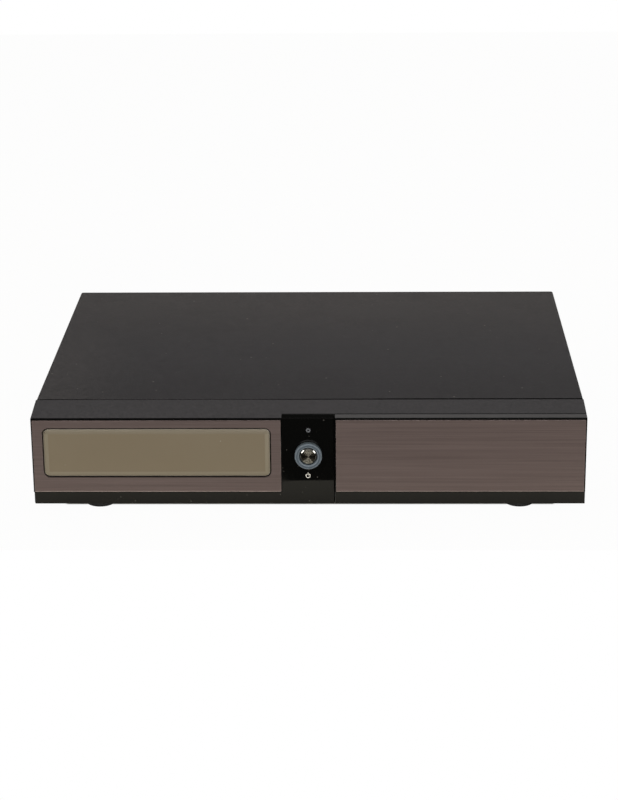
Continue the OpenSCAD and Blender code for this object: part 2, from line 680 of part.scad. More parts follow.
// Flap
module flap_panel() color("#1a1919") seat() difference() {
    union() {
        block([flap_x0, plate_t, base], [half, flap_back, edge_z - lip]);
        block([flap_x0, gloss_set, base], [half - sill_inset, flap_back, sill_z]);
        for (x = [flap_x0, half - flap_rim]) along_x(x, x + flap_rim) polygon([[0, sill_z], [0, edge_z],
            [flap_t, rail_z(flap_t)], [flap_t, base], [gloss_set, base], [gloss_set, sill_z]]);
        along_x(flap_x0, half) polygon([[0, edge_z - lip], [0, edge_z], [flap_t, rail_z(flap_t)],
            [flap_t, rail_z(flap_t) - flap_rim], [plate_t, rail_z(plate_t) - flap_rim],
            [plate_t, edge_z - lip]]);
        block([flap_x0, plate_t, base], [half, flap_t, base + flap_rim]);
        for (x = flap_lugs) hinge_lug(x, flap_back - wall / 2, hinge_y);
    }
    block([flap_x0 + seam - fit, -1, sill_z - 1], [half - plate_edge + fit, gloss_set, edge_z - lip]);
    block([flap_x0 + seam - fit, -1, sill_z], [half - plate_edge + fit, plate_t, edge_z - lip]);
    for (x = frame_lugs) block([x - lug_w / 2 - lug_gap, flap_back, base - 1],
        [x + lug_w / 2 + lug_gap, flap_t + 1, base + flap_rim + 1]);
    for (x = flap_lugs) rod_x(hinge_at, pin_r + run_gap, x - lug_w, x + lug_w);
}

module flap_plate() color("#5c504c") seat() brushed_plate(flap_x0 + seam, half - plate_edge);

module flap_strike() color("#a8aaac") seat() rod_y(catch_at, magnet_r, flap_back, flap_back + strike_t);

module catch_magnet() color("#4a4b4d") seat() rod_y(catch_at, magnet_r, magnet_y, magnet_y + magnet_t);

module hinge_pins() color("#b4b6b8") seat() {
    rod_x(hinge_at, pin_r, frame_lugs[0] - lug_w / 2, flap_lugs[0] + lug_w / 2);
    rod_x(hinge_at, pin_r, flap_lugs[1] - lug_w / 2, frame_lugs[1] + lug_w / 2);
}

// Module bay
ci_floor = 2;
ci_wall = 1.2;
ci_half = ci_w / 2 + ci_wall;
ci_y0 = bay_back + cut_gap;
ci_z = [for (i = [0, 1]) main_top + ci_floor + ci_h / 2 + i * ci_pitch];
ci_top = ci_z[1] + ci_h / 2 + ci_wall;
eject_x = ci_x + ci_half + 4;
eject_w = 5.5;
eject_h = 4;
eject_rod = 2.6;
eject_out = 2;
eject_cap_l = 9;
guide_w = 1.8;
guide_l = 4;
guide_y = [ci_y0 + 14, ci_y0 + ci_l - 14];
usb_w = 13.2;
usb_h = 5.8;
usb_l = 14.4;
usb_out = 0.4;
usb_wall = 0.6;

module bay_fascia() color("#1b1b1c") seat() difference() {
    block([flap_x0 + wall + cut_gap, bay_depth, shelf_z1 + fit],
        [half - wall - cut_gap, bay_back, rail_z(bay_depth) - wall - cut_gap]);
    for (z = ci_z) {
        block([ci_x - ci_w / 2, bay_depth - 1, z - ci_h / 2], [ci_x + ci_w / 2, bay_back + 1, z + ci_h / 2]);
        block([eject_x - eject_w / 2 - cut_gap, bay_depth - 1, z - eject_h / 2 - cut_gap],
            [eject_x + eject_w / 2 + cut_gap, bay_back + 1, z + eject_h / 2 + cut_gap]);
    }
    block([usb_x - usb_w / 2 - cut_gap, bay_depth - 1, main_top - cut_gap],
        [usb_x + usb_w / 2 + cut_gap, bay_back + 1, main_top + usb_h + cut_gap]);
}

module ci_cage() color("#a9acae") seat() difference() {
    union() {
        block([ci_x - ci_half, ci_y0, main_top], [ci_x + ci_half, ci_y0 + ci_l, ci_top]);
        for (z = ci_z, y = guide_y) block([ci_x + ci_half - ci_wall / 2, y, z - eject_rod / 2 - guide_w],
            [eject_x + eject_rod / 2 + guide_w, y + guide_l, z + eject_rod / 2 + guide_w]);
    }
    for (z = ci_z) {
        block([ci_x - ci_w / 2, ci_y0 - 1, z - ci_h / 2],
            [ci_x + ci_w / 2, ci_y0 + ci_l - ci_wall, z + ci_h / 2]);
        block([eject_x - eject_rod / 2 - fit, ci_y0, z - eject_rod / 2 - fit],
            [eject_x + eject_rod / 2 + fit, ci_y0 + ci_l, z + eject_rod / 2 + fit]);
    }
    along_z(ci_z[1], ci_top + 1) polygon(round_rect([ci_x - ci_w / 4, ci_y0 + 12],
        [ci_x + ci_w / 4, ci_y0 + ci_l - 12], 6));
}

// Eject button on its sliding rod
module ci_ejector(z) {
    y0 = bay_depth - eject_out;
    block([eject_x - eject_w / 2, y0, z - eject_h / 2],
        [eject_x + eject_w / 2, y0 + eject_cap_l, z + eject_h / 2]);
    block([eject_x - eject_rod / 2, y0 + eject_cap_l, z - eject_rod / 2],
        [eject_x + eject_rod / 2, ci_y0 + ci_l - eject_travel, z + eject_rod / 2]);
}
module ci_ejector_lower() color("#2f2f31") seat() ci_ejector(ci_z[0]);
module ci_ejector_upper() color("#2f2f31") seat() ci_ejector(ci_z[1]);

// Open socket shell with a contact tongue, facing the front or the rear
module socket_shell(x, z0, w, h, y_in, y_out, skin, tongue_h) {
    face = sign(y_out - y_in);
    difference() {
        block([x - w / 2, min(y_in, y_out), z0], [x + w / 2, max(y_in, y_out), z0 + h]);
        block([x - w / 2 + skin, min(y_in + face * skin, y_out + face), z0 + skin],
            [x + w / 2 - skin, max(y_in + face * skin, y_out + face), z0 + h - skin]);
    }
    block([x - w / 2 + 2 * skin, min(y_in, y_out - face * 2), z0 + h / 2 - tongue_h / 2],
        [x + w / 2 - 2 * skin, max(y_in, y_out - face * 2), z0 + h / 2 + tongue_h / 2]);
}

module usb_socket() color("#b9bcbe") seat()
    socket_shell(usb_x, main_top, usb_w, usb_h, bay_depth - usb_out + usb_l, bay_depth - usb_out,
        usb_wall, 1.6);

// Front board
ribbon_x = 6;
ribbon_w = 14;
ribbon_t = 0.8;
plug_over = 1;
plug_h = 4.5;
ribbon_z = base + 19;
ribbon_y = board_y + board_t + plug_h - ribbon_t;
infrared_x = window_x1 - 7;
switch_w2 = 12;

module front_board() color("#31543a") seat() difference() {
    block([front_board_x0, board_y, front_board_z0], [front_board_x1, board_y + board_t, front_board_z1]);
    for (x = front_post_x, z = front_screw_z)
        rod_y([x, z], screw_r + fit, board_y - 1, board_y + board_t + 1);
}

module front_board_parts() color("#202022") seat() {
    difference() {
        block([-switch_w2 / 2, board_y - switch_h, push_z - switch_w2 / 2],
            [switch_w2 / 2, board_y, push_z + switch_w2 / 2]);
        rod_y([0, push_z], actuator_r + run_gap, board_y - switch_h - 1, board_y - fit);
    }
    rod_y([0, lamp_z], lamp_r, board_y - lamp_l + fit, board_y);
    block([infrared_x - 3, board_y - 5, window_mid - 3.5], [infrared_x + 3, board_y, window_mid + 3.5]);
    block([ribbon_x - ribbon_w / 2 - plug_over, board_y + board_t, ribbon_z - 2.4],
        [ribbon_x + ribbon_w / 2 + plug_over, ribbon_y, ribbon_z + 2.4]);
    block([vfd_x - 10, board_y + board_t, window_mid - 5],
        [vfd_x + 10, board_y + board_t + 2, window_mid + 5]);
}

module vfd_display() color("#1d2b28") seat() {
    block([vfd_x - vfd_wide / 2, board_y - vfd_t, window_mid - vfd_h / 2],
        [vfd_x + vfd_wide / 2, board_y - 1, window_mid + vfd_h / 2]);
    for (z = [window_mid - vfd_h / 2, window_mid + vfd_h / 2 - 2])
        block([vfd_x - vfd_wide / 2 + 6, board_y - 1, z], [vfd_x + vfd_wide / 2 - 6, board_y, z + 2]);
}

// Main board and power board on their standoffs
main_screw_y0 = main_y0 + 11.5;
main_screw_y2 = panel_in - tuner_l - 6;
main_screws = [for (x = [main_x0 + screw_in, main_x1 - screw_in],
    y = [main_screw_y0, 0.6 * main_screw_y0 + 0.4 * main_screw_y2, main_screw_y2]) [x, y]];
power_y1 = panel_in - 8;
power_y0 = power_y1 - power_d;
power_screws = [for (x = [power_x0 + screw_in, power_x1 - screw_in],
    y = [power_y0 + screw_in, power_y1 - screw_in])
    [x, y]];
board_screws_at = concat(main_screws, power_screws);
standoff_r = 3;
board_screw_l = 5;

module board(x0, x1, y0, y1, screws) difference() {
    block([x0, y0, main_z], [x1, y1, main_top]);
    for (at = screws) rod_z(at, screw_r + fit, main_z - 1, main_top + 1);
}
module main_board() color("#2c5a3c") seat() board(main_x0, main_x1, main_y0, main_y1, main_screws);
module power_board() color("#8a7444") seat() board(power_x0, power_x1, power_y0, power_y1, power_screws);

module main_standoffs() color("#b49a56") seat() for (at = board_screws_at) difference() {
    translate([at.x, at.y, floor_z]) cylinder(r = standoff_r, h = standoff_h, $fn = 6);
    rod_z(at, screw_r + fit, floor_z + 1, main_z + 1);
}

module board_screws() color("#9a9c9e") seat() {
    for (at = board_screws_at) translate([at.x, at.y, main_top]) rotate([180, 0, 0]) screw(board_screw_l);
    for (x = front_post_x, z = front_screw_z)
        translate([x, board_y + board_t, z]) rotate([90, 0, 0]) screw(board_screw_l);
}

chip_h = 1.4;
function on_main(share, y) = [main_x0 + share * main_w, y];
cpu_at = on_main(0.49, 165);
cpu_w = 27;
sink_base = 2;
sink_h = 13;
fin_t = 1.2;

module cpu_heatsink() color("#6d7073") seat() translate([cpu_at.x, cpu_at.y, main_top + chip_h]) {
    block([-sink_w / 2, -sink_w / 2, 0], [sink_w / 2, sink_w / 2, sink_base]);
    for (i = [0:fin_n - 1]) let (x = -sink_w / 2 + i * (sink_w - fin_t) / (fin_n - 1))
        block([x, -sink_w / 2, 0], [x + fin_t, sink_w / 2, sink_h]);
}

// Each chip: its middle, width and depth
chips = [[cpu_at, cpu_w, cpu_w], [on_main(0.28, 158), 12, 10], [on_main(0.28, 172), 12, 10],
    [on_main(0.77, 172), 14, 14], [on_main(0.73, 140), 12, 18], [on_main(0.16, panel_in - 38), 9, 9]];
module board_chips() color("#1e1e20") seat() for (c = chips)
    translate([c[0].x - c[1] / 2, c[0].y - c[2] / 2, main_top]) cube([c[1], c[2], chip_h]);

small_cap_r = 4;
small_cap_h = 11;
small_caps = [for (share = [0.15, 0.215, 0.28, 0.7, 0.765, 0.83]) on_main(share, 122)];
module board_capacitors() color("#26303e") seat()
    for (at = small_caps) rod_z(at, small_cap_r, main_top, main_top + small_cap_h);

// Rear sockets
f_bore = 2.4;
f_relief = 0.6;
f_groove = 1;
nut_r = 6.8;
nut_h = 3;
module tuner(x) difference() {
    union() {
        block([x - tuner_w / 2, panel_in - tuner_l, main_top],
            [x + tuner_w / 2, panel_in, main_top + tuner_h]);
        for (at = f_at) if (at.x == x) {
            rod_y(at, f_r - f_relief, panel_in - 1, panel_y + nut_h + f_groove + 0.5);
            rod_y(at, f_r, panel_y + nut_h + f_groove, panel_y + f_out);
        }
    }
    for (at = f_at) rod_y(at, f_bore, panel_y + nut_h, panel_y + f_out + 1);
}
module tuner_1() color("#aeb1b3") seat() tuner(tuner_x[0]);
module tuner_2() color("#aeb1b3") seat() tuner(tuner_x[1]);

module f_nuts() color("#c0b27a") seat() for (at = f_at) difference() {
    translate([at[0], panel_y + nut_h, at[1]]) rotate([90, 0, 0]) cylinder(r = nut_r, h = nut_h, $fn = 6);
    rod_y(at, f_r - f_relief + run_gap, panel_y - 1, panel_y + nut_h + 1);
}

scart_in = 12;
scart_slot_w = 42;
scart_slot_h = 11;
scart_skew = 6;
module scart_block() color("#17171a") seat() {
    y1 = panel_y + scart_out;
    difference() {
        block([scart_x - scart_w / 2, panel_in - scart_l, main_top],
            [scart_x + scart_w / 2, y1, main_top + scart_h]);
        for (i = [1, 3]) let (z = main_top + i * scart_h / 4, w = scart_slot_w / 2, h = scart_slot_h / 2)
            along_y(y1 - scart_in, y1 + 1) polygon([[scart_x - w, z - h], [scart_x + w - scart_skew, z - h],
                [scart_x + w, z], [scart_x + w, z + h], [scart_x - w, z + h]]);
    }
    for (i = [1, 3]) let (z = main_top + i * scart_h / 4)
        block([scart_x - scart_slot_w / 2 + 4, y1 - scart_in - 1, z - 1.2],
            [scart_x + scart_slot_w / 2 - 8, y1 - 3, z + 1.2]);
}

rca_l = 16;
rca_out = 8.8;
rca_bore = 1.7;
rca_face = panel_in - fit;
module rca_block() color("#1d1d20") seat() block([rca_x - rca_half, panel_in - rca_l, main_top],
    [rca_x + rca_half, rca_face, main_top + rca_rows * rca_pitch]);
module rca_barrels() color("#c9c3a4") seat() for (at = rca_at) difference() {
    rod_y(at, rca_r, rca_face, panel_y + rca_out);
    rod_y(at, rca_bore, panel_y, panel_y + rca_out + 1);
}
rca_ring_out = 2;
module rca_rings() color("#a03030") seat() for (at = rca_at) difference() {
    rod_y(at, rca_ring_r, rca_face, panel_y + rca_ring_out);
    rod_y(at, rca_r + run_gap, rca_face - 1, panel_y + rca_ring_out + 1);
}

module hdmi_socket() color("#b5b8ba") seat()
    socket_shell(hdmi_x, main_top, hdmi_w, hdmi_h, panel_in - hdmi_l, panel_y + socket_out, 0.6, 1.4);

eth_slot_w = 11.8;
eth_slot_h = 8.2;
eth_latch_w = 6.2;
eth_deep = 13;
module ethernet_jack() color("#9fa2a4") seat() {
    y1 = panel_y + socket_out;
    z0 = main_top + 1.6;
    difference() {
        block([eth_x - eth_w / 2, panel_in - eth_l, main_top], [eth_x + eth_w / 2, y1, main_top + eth_h]);
        block([eth_x - eth_slot_w / 2, y1 - eth_deep, z0], [eth_x + eth_slot_w / 2, y1 + 1, z0 + eth_slot_h]);
        block([eth_x - eth_latch_w / 2, y1 - eth_deep, z0],
            [eth_x + eth_latch_w / 2, y1 + 1, z0 + eth_slot_h + 2]);
    }
}

// Power supply
coil_at = [power_x0 + 52, power_y0 + 50];
core_w = 32;
core_d = 26;
core_h = 27;
coil_out = 5;
core_leg = 6;
module transformer() color("#5b4a3a") seat() translate([coil_at.x, coil_at.y, main_top]) {
    difference() {
        block([-core_w / 2, -core_d / 2, 1], [core_w / 2, core_d / 2, core_h]);
        block([core_leg - core_w / 2, -core_d, core_leg + 1],
            [core_w / 2 - core_leg, core_d, core_h - core_leg]);
    }
    along_z(core_leg, core_h - core_leg + 1) polygon(round_rect([core_leg - core_w / 2 - 1,
        -core_d / 2 - coil_out],
        [core_w / 2 - core_leg + 1, core_d / 2 + coil_out], 4));
    block([-core_w / 2, -core_d / 2, 0], [core_w / 2, core_d / 2, 2]);
}

mains_caps = [for (i = [0, 1]) [power_x0 + 15, power_y0 + 34 + i * 22]];
low_caps = [for (i = [0:2]) [power_x0 + 26 + i * 11, power_y0 + 20]];
module power_capacitors() color("#2a3648") seat() {
    for (at = mains_caps) rod_z(at, mains_cap_r, main_top, main_top + mains_cap_h);
    for (at = low_caps) rod_z(at, small_cap_r, main_top, main_top + 2 * small_cap_h);
}

cooler_x = power_x0 + 32;
cooler_n = 6;
cooler_pitch = 5;
cooler_h = 30;
cooler_out = 8;
module power_heatsink() color("#7c7f82") seat() translate([cooler_x, power_y0 + 36, main_top]) {
    block([0, 0, 0], [fin_t, cooler_n * cooler_pitch, cooler_h]);
    for (i = [0:cooler_n]) block([-cooler_out / 2, i * cooler_pitch, 0],
        [fin_t, i * cooler_pitch + fin_t, cooler_h]);
}

pin_x = 4.3;
pin_out_r = 1.2;
inlet_slot_r = 4.6;
inlet_deep = 13;
inlet_l = 20;
module mains_inlet() color("#141416") seat() {
    y1 = panel_y + socket_out;
    difference() {
        block([inlet_x - inlet_w / 2, panel_in - inlet_l, inlet_z - inlet_h / 2],
            [inlet_x + inlet_w / 2, y1, inlet_z + inlet_h / 2]);
        for (i = [-1, 1]) rod_y([inlet_x + i * pin_x, inlet_z], inlet_slot_r, y1 - inlet_deep, y1 + 1);
        block([inlet_x - pin_x, y1 - inlet_deep, inlet_z - inlet_slot_r + 0.8],
            [inlet_x + pin_x, y1 + 1, inlet_z + inlet_slot_r - 0.8]);
    }
    for (i = [-1, 1]) rod_y([inlet_x + i * pin_x, inlet_z], pin_out_r, y1 - inlet_deep - 1, y1 - 2);
}

switch_l = 16;
switch_skin = 0.8;
bezel = 1.6;
rocker_w = 14.4;
rocker_side = 0.2;
rocker_at = [panel_y - 0.5, switch_z];
stub_r = 1.2;
stub_out = 1;
module mains_switch() color("#121214") seat() difference() {
    union() {
        block([switch_x - switch_w / 2, panel_in - switch_l, switch_z - switch_hh / 2],
            [switch_x + switch_w / 2, panel_y, switch_z + switch_hh / 2]);
        block([switch_x - switch_w / 2 - bezel, panel_y, switch_z - switch_hh / 2 - bezel],
            [switch_x + switch_w / 2 + bezel, panel_y + bezel, switch_z + switch_hh / 2 + bezel]);
    }
    block([switch_x - rocker_w / 2 - rocker_side, panel_in - switch_l / 2,
        switch_z - switch_hh / 2 + switch_skin],
        [switch_x + rocker_w / 2 + rocker_side, panel_y + bezel + 1, switch_z + switch_hh / 2 - switch_skin]);
    rod_x(rocker_at, stub_r + run_gap, switch_x - rocker_w / 2 - stub_out - fit,
        switch_x + rocker_w / 2 + stub_out + fit);
}

rocker_half = switch_hh / 2 - 1.7;
module switch_rocker() color("#1f1f22") seat() {
    translate([0, rocker_at[0], rocker_at[1]]) rotate([rocker_tilt, 0, 0])
        along_x(switch_x - rocker_w / 2, switch_x + rocker_w / 2) polygon([[-4, -3.2], [3.2, -rocker_half],
            [1.8, 0], [3.2, rocker_half], [-4, 3.2]]);
    rod_x(rocker_at, stub_r, switch_x - rocker_w / 2 - stub_out, switch_x + rocker_w / 2 + stub_out);
}

// Disk
disk_x0 = power_in - half;
disk_x1 = disk_x0 + disk_l;
disk_y0 = tongue_y1 + 1;
disk_y1 = disk_y0 + disk_w;
disk_z = floor_z + 4.2;
disk_lid = 1.6;
disk_lid_z = disk_z + disk_h - disk_lid;
bracket_t = 1;
bracket_in = 12;
bracket_h = 14;
platter_r = disk_w * 0.43;

module hard_disk() color("#4d5052") seat() difference() {
    block([disk_x0, disk_y0, disk_z], [disk_x1, disk_y1, disk_lid_z]);
    block([disk_x0 + 8, disk_y0 + 8, disk_z - 1], [disk_x1 - 8, disk_y1 - 8, disk_z + 1.2]);
}
module hdd_cover() color("#b4b7b9") seat() difference() {
    along_z(disk_lid_z, disk_lid_z + disk_lid)
        polygon(round_rect([disk_x0 + 1, disk_y0 + 1], [disk_x1 - 1, disk_y1 - 1], 5));
    rod_z([disk_x0 + disk_w / 2, (disk_y0 + disk_y1) / 2], platter_r, disk_lid_z + disk_lid / 2, top);
}
module hdd_bracket() color("#90938f") seat() {
    block([disk_x0 - fit - bracket_t, disk_y0 + bracket_in, floor_z],
        [disk_x1 + fit + bracket_t, disk_y1 - bracket_in, floor_z + bracket_t]);
    for (x = [disk_x0 - fit - bracket_t, disk_x1 + fit])
        block([x, disk_y0 + bracket_in, floor_z], [x + bracket_t, disk_y1 - bracket_in, floor_z + bracket_h]);
}

// Fan
fan_y0 = panel_in - fan_t;
fan_bore = fan_w / 2 - 1.2;
fan_base = 1.4;
hub_r = 8.5;
hub_skin = 1.5;
axle_r = 1;
bush_r = 2.6;
rotor_y0 = fan_y0 + fan_base + 0.6;
rotor_y1 = panel_in - 0.8;
blade_tip = fan_bore - 0.8;
blade_t = 1.2;
blade_chord = 7;
strut_w = 2.4;

module fan_frame() color("#19191b") seat() difference() {
    union() {
        difference() {
            along_y(fan_y0, panel_in) polygon(round_rect([fan_x - fan_w / 2, fan_z - fan_w / 2],
                [fan_x + fan_w / 2, fan_z + fan_w / 2], 3));
            rod_y([fan_x, fan_z], fan_bore, fan_y0 - 1, panel_in + 1);
        }
        rod_y([fan_x, fan_z], hub_r, fan_y0, fan_y0 + fan_base);
        rod_y([fan_x, fan_z], bush_r, fan_y0, rotor_y1 - 2 * hub_skin);
        block([fan_x - fan_w / 2 + 1, fan_y0, fan_z - strut_w / 2], [fan_x + fan_w / 2 - 1, fan_y0 + fan_base,
            fan_z + strut_w / 2]);
        block([fan_x - strut_w / 2, fan_y0, fan_z - fan_w / 2 + 1], [fan_x + strut_w / 2, fan_y0 + fan_base,
            fan_z + fan_w / 2 - 1]);
    }
    rod_y([fan_x, fan_z], axle_r + run_gap, fan_y0 - 1, panel_in);
    for (i = [-1, 1], k = [-1, 1])
        rod_y([fan_x + i * fan_screw, fan_z + k * fan_screw], screw_r + fit, fan_y0 - 1, panel_in + 1);
}

module fan_rotor() color("#232326") seat() {
    difference() {
        rod_y([fan_x, fan_z], hub_r, rotor_y0, rotor_y1);
        rod_y([fan_x, fan_z], hub_r - hub_skin, rotor_y0 - 1, rotor_y1 - hub_skin);
    }
    rod_y([fan_x, fan_z], axle_r, fan_y0, rotor_y1 - hub_skin / 2);
    for (i = [0:blade_n - 1]) translate([fan_x, (rotor_y0 + rotor_y1) / 2, fan_z])
        rotate([0, i * 360 / blade_n, 0])
        rotate([blade_pitch, 0, 0])
            block([hub_r - hub_skin / 2, -blade_chord / 2, -blade_t / 2],
            [blade_tip, blade_chord / 2, blade_t / 2]);
}

// Wiring: flat cables on their plugs
function bow(a, b, rise, n = 10) = [for (i = [0:n]) [a[0] + (b[0] - a[0]) * i / n,
    a[1] + (b[1] - a[1]) * i / n + rise * sin(180 * i / n)]];
function bowed_band(a, b, rise, t) = concat(bow(a, b, rise), rev(bow(a + [0, t], b + [0, t], rise)));

plug_y0 = main_y0 + 4;
bend_r = 1;
ribbon_bend = [plug_y0 + 1.5, ribbon_z - bend_r];
module front_ribbon() color("#c9c9c4") seat() {
    along_x(ribbon_x - ribbon_w / 2, ribbon_x + ribbon_w / 2) polygon(concat([[ribbon_y, ribbon_z]],
        arc(ribbon_bend, bend_r, 90, 0, 4), [[ribbon_bend[0] + bend_r, main_top + plug_h],
        [ribbon_bend[0] + bend_r + ribbon_t, main_top + plug_h]],
        arc(ribbon_bend, bend_r + ribbon_t, 0, 90, 4),
        [[ribbon_y, ribbon_z + ribbon_t]]));
    block([ribbon_x - ribbon_w / 2 - plug_over, plug_y0, main_top],
        [ribbon_x + ribbon_w / 2 + plug_over, plug_y0 + 5, main_top + plug_h]);
}

sata_x = disk_x1 - 27;
sata_t = 1.2;
sata_r = 4;
sata_z0 = main_top + 1.6;
sata_z1 = sata_z0 + 7;
sata_plug = [16, 5, 10];
sata_y = disk_y1 + sata_plug.y + 8;
sata_end = [main_x0 + 6, 11];
sata_bend = [sata_x + sata_r, sata_y - sata_r];
module sata_cable() color("#a8322c") seat() {
    along_z(sata_z0, sata_z1) polygon(concat([[sata_x, disk_y1 + sata_plug.y]],
        arc(sata_bend, sata_r, 180, 90, 5),
        [[sata_end.x, sata_y], [sata_end.x, sata_y - sata_t]], arc(sata_bend, sata_r - sata_t, 90, 180, 5),
        [[sata_x + sata_t, disk_y1 + sata_plug.y]]));
    block([sata_x - sata_plug.x / 2, disk_y1, main_top], [sata_x + sata_plug.x / 2, disk_y1 + sata_plug.y,
        main_top + sata_plug.z]);
    block([sata_end.x, sata_y - sata_end.y / 2, main_top], [sata_end.x + sata_plug.y, sata_y + sata_end.y / 2,
        main_top + sata_plug.z]);
}

loom_y = power_y0 + 14;
loom_w = 10;
loom_t = 1.6;
loom_z = main_top + 4;
loom_plug = 7;
loom_rise = 6;
disk_plug_x = disk_x1 - 60;
module power_harness() color("#d8b13a") seat() {
    along_y(loom_y - loom_w / 2, loom_y + loom_w / 2) polygon(bowed_band([power_x1 - 2, loom_z],
        [main_x0 + 2, loom_z], loom_rise, loom_t));
    for (x = [power_x1 - 2 - loom_plug, main_x0 + 2]) block([x, loom_y - loom_w / 2 - plug_over, main_top],
        [x + loom_plug, loom_y + loom_w / 2 + plug_over, loom_z + loom_plug]);
    along_x(disk_plug_x - loom_w / 2, disk_plug_x + loom_w / 2)
        polygon(bowed_band([disk_y1 + sata_plug.y, loom_z],
        [power_y0 + 4, loom_z], loom_rise / 2, loom_t));
    for (y = [disk_y1, power_y0 + 4]) block([disk_plug_x - loom_w / 2 - plug_over, y, main_top],
        [disk_plug_x + loom_w / 2 + plug_over, y + sata_plug.y, loom_z + loom_plug]);
}

top_cover();
bottom_chassis();
rear_panel();
rear_screws();
feet();
foot_pads();
foot_screws();
front_frame();
frame_screws();
gloss_fascia();
display_plate();
display_window();
light_ring();
power_button();
button_plunger();
switch_actuator();
status_lens();
flap_panel();
flap_plate();
flap_strike();
catch_magnet();
hinge_pins();
bay_fascia();
ci_cage();
ci_ejector_lower();
ci_ejector_upper();
usb_socket();
front_board();
front_board_parts();
vfd_display();
main_board();
main_standoffs();
board_screws();
cpu_heatsink();
board_chips();
board_capacitors();
tuner_1();
tuner_2();
f_nuts();
scart_block();
rca_block();
rca_barrels();
rca_rings();
hdmi_socket();
ethernet_jack();
power_board();
transformer();
power_capacitors();
power_heatsink();
mains_inlet();
mains_switch();
switch_rocker();
hard_disk();
hdd_cover();
hdd_bracket();
fan_frame();
fan_rotor();
front_ribbon();
sata_cable();
power_harness();
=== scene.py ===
import json
import math
import bmesh
import bpy
from mathutils import Matrix, Vector


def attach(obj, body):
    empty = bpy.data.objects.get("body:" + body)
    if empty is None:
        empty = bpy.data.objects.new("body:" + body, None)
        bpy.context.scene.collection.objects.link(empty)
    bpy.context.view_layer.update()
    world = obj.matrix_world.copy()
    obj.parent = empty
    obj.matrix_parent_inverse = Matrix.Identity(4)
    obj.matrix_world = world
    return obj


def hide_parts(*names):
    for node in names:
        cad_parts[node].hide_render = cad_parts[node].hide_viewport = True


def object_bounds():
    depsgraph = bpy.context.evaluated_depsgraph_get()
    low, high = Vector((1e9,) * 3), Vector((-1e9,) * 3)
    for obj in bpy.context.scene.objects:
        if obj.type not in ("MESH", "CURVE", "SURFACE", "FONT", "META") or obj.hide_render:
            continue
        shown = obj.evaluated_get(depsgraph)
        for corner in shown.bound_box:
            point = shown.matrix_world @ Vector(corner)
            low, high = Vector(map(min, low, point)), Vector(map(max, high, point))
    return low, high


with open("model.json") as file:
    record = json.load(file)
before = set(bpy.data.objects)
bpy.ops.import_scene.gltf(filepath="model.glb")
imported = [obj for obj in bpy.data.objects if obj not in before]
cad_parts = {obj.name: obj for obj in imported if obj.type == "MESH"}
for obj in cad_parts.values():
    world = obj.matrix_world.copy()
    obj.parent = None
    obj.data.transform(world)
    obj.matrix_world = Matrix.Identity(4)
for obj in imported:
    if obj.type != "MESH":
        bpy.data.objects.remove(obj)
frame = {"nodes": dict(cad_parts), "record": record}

cadBox = [list(c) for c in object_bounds()]
mm = 0.001
rowMid = 135.9  # the record's frame sits this far behind the front plates
bodyOf = {n: b for b, members in frame["record"]["behaviour"]["bodies"].items() for n in members}
slotOf = {s["node"]: s["material_slot"] for s in frame["record"]["subparts"]}
print("frame loaded:", len(frame["nodes"]), "nodes")


def bench(x, y, z):  # millimetres from the front plates and the floor, to the frame
    return Vector((x * mm, (y - rowMid) * mm, z * mm))


def srgb(r, g, b):
    def lin(c):
        c /= 255
        return c / 12.92 if c <= 0.04045 else ((c + 0.055) / 1.055) ** 2.4
    return (lin(r), lin(g), lin(b), 1.0)


# Camera at the photograph's place
view = {"at": (0.03384, -1.43119, 0.5209), "yaw": 1.465, "pitch": 18.992, "roll": -0.554, "lens": 101.42}


def placeCamera():
    yaw, pitch, roll = (math.radians(view[k]) for k in ("yaw", "pitch", "roll"))
    side = Vector((math.cos(yaw), math.sin(yaw), 0))
    rise = Vector((-math.sin(yaw) * math.sin(pitch), math.cos(yaw) * math.sin(pitch), math.cos(pitch)))
    ahead = Vector((-math.sin(yaw) * math.cos(pitch), math.cos(yaw) * math.cos(pitch), -math.sin(pitch)))
    right = side * math.cos(roll) + rise * math.sin(roll)
    up = rise * math.cos(roll) - side * math.sin(roll)
    lens = bpy.data.cameras.new("photoCamera")
    lens.sensor_width, lens.lens = 36, view["lens"]
    lens.clip_start, lens.clip_end = 0.01, 60
    cam = bpy.data.objects.new("photoCamera", lens)
    cam.matrix_world = Matrix((
        (right.x, up.x, -ahead.x, view["at"][0]), (right.y, up.y, -ahead.y, view["at"][1]),
        (right.z, up.z, -ahead.z, view["at"][2]), (0, 0, 0, 1)))
    bpy.context.scene.collection.objects.link(cam)
    bpy.context.scene.camera = cam


placeCamera()
print("camera placed")


# Node helpers: a wire joins an output to a socket, or sets the socket where it is given a value
def wire(tree, source, socket):
    if isinstance(source, bpy.types.NodeSocket):
        tree.links.new(source, socket)
    else:
        socket.default_value = source


def addNode(tree, kind, inputs=None, **props):
    family = "" if kind.startswith(("GeometryNode", "FunctionNode")) else "ShaderNode"
    node = tree.nodes.new(family + kind)
    for key, value in props.items():
        setattr(node, key, value)
    for key, source in (inputs or {}).items():
        wire(tree, source, node.inputs[key])
    return node


def math2(tree, operation, a, b=0.0, clamp=False):
    return addNode(tree, "Math", {0: a, 1: b}, operation=operation, use_clamp=clamp).outputs[0]


def times(tree, a, b, clamp=False):
    return math2(tree, "MULTIPLY", a, b, clamp)


def plus(tree, a, b, clamp=False):
    return math2(tree, "ADD", a, b, clamp)


def minus(tree, a, b):
    return math2(tree, "SUBTRACT", a, b)


def blendColour(tree, factor, a, b, kind="MIX"):
    return addNode(tree, "Mix", {0: factor, 6: a, 7: b}, data_type="RGBA", blend_type=kind).outputs[2]


def toned(tree, colour, gain):
    grey = addNode(tree, "CombineColor", {0: gain, 1: gain, 2: gain}).outputs[0]
    return blendColour(tree, 1.0, colour, grey, "MULTIPLY")


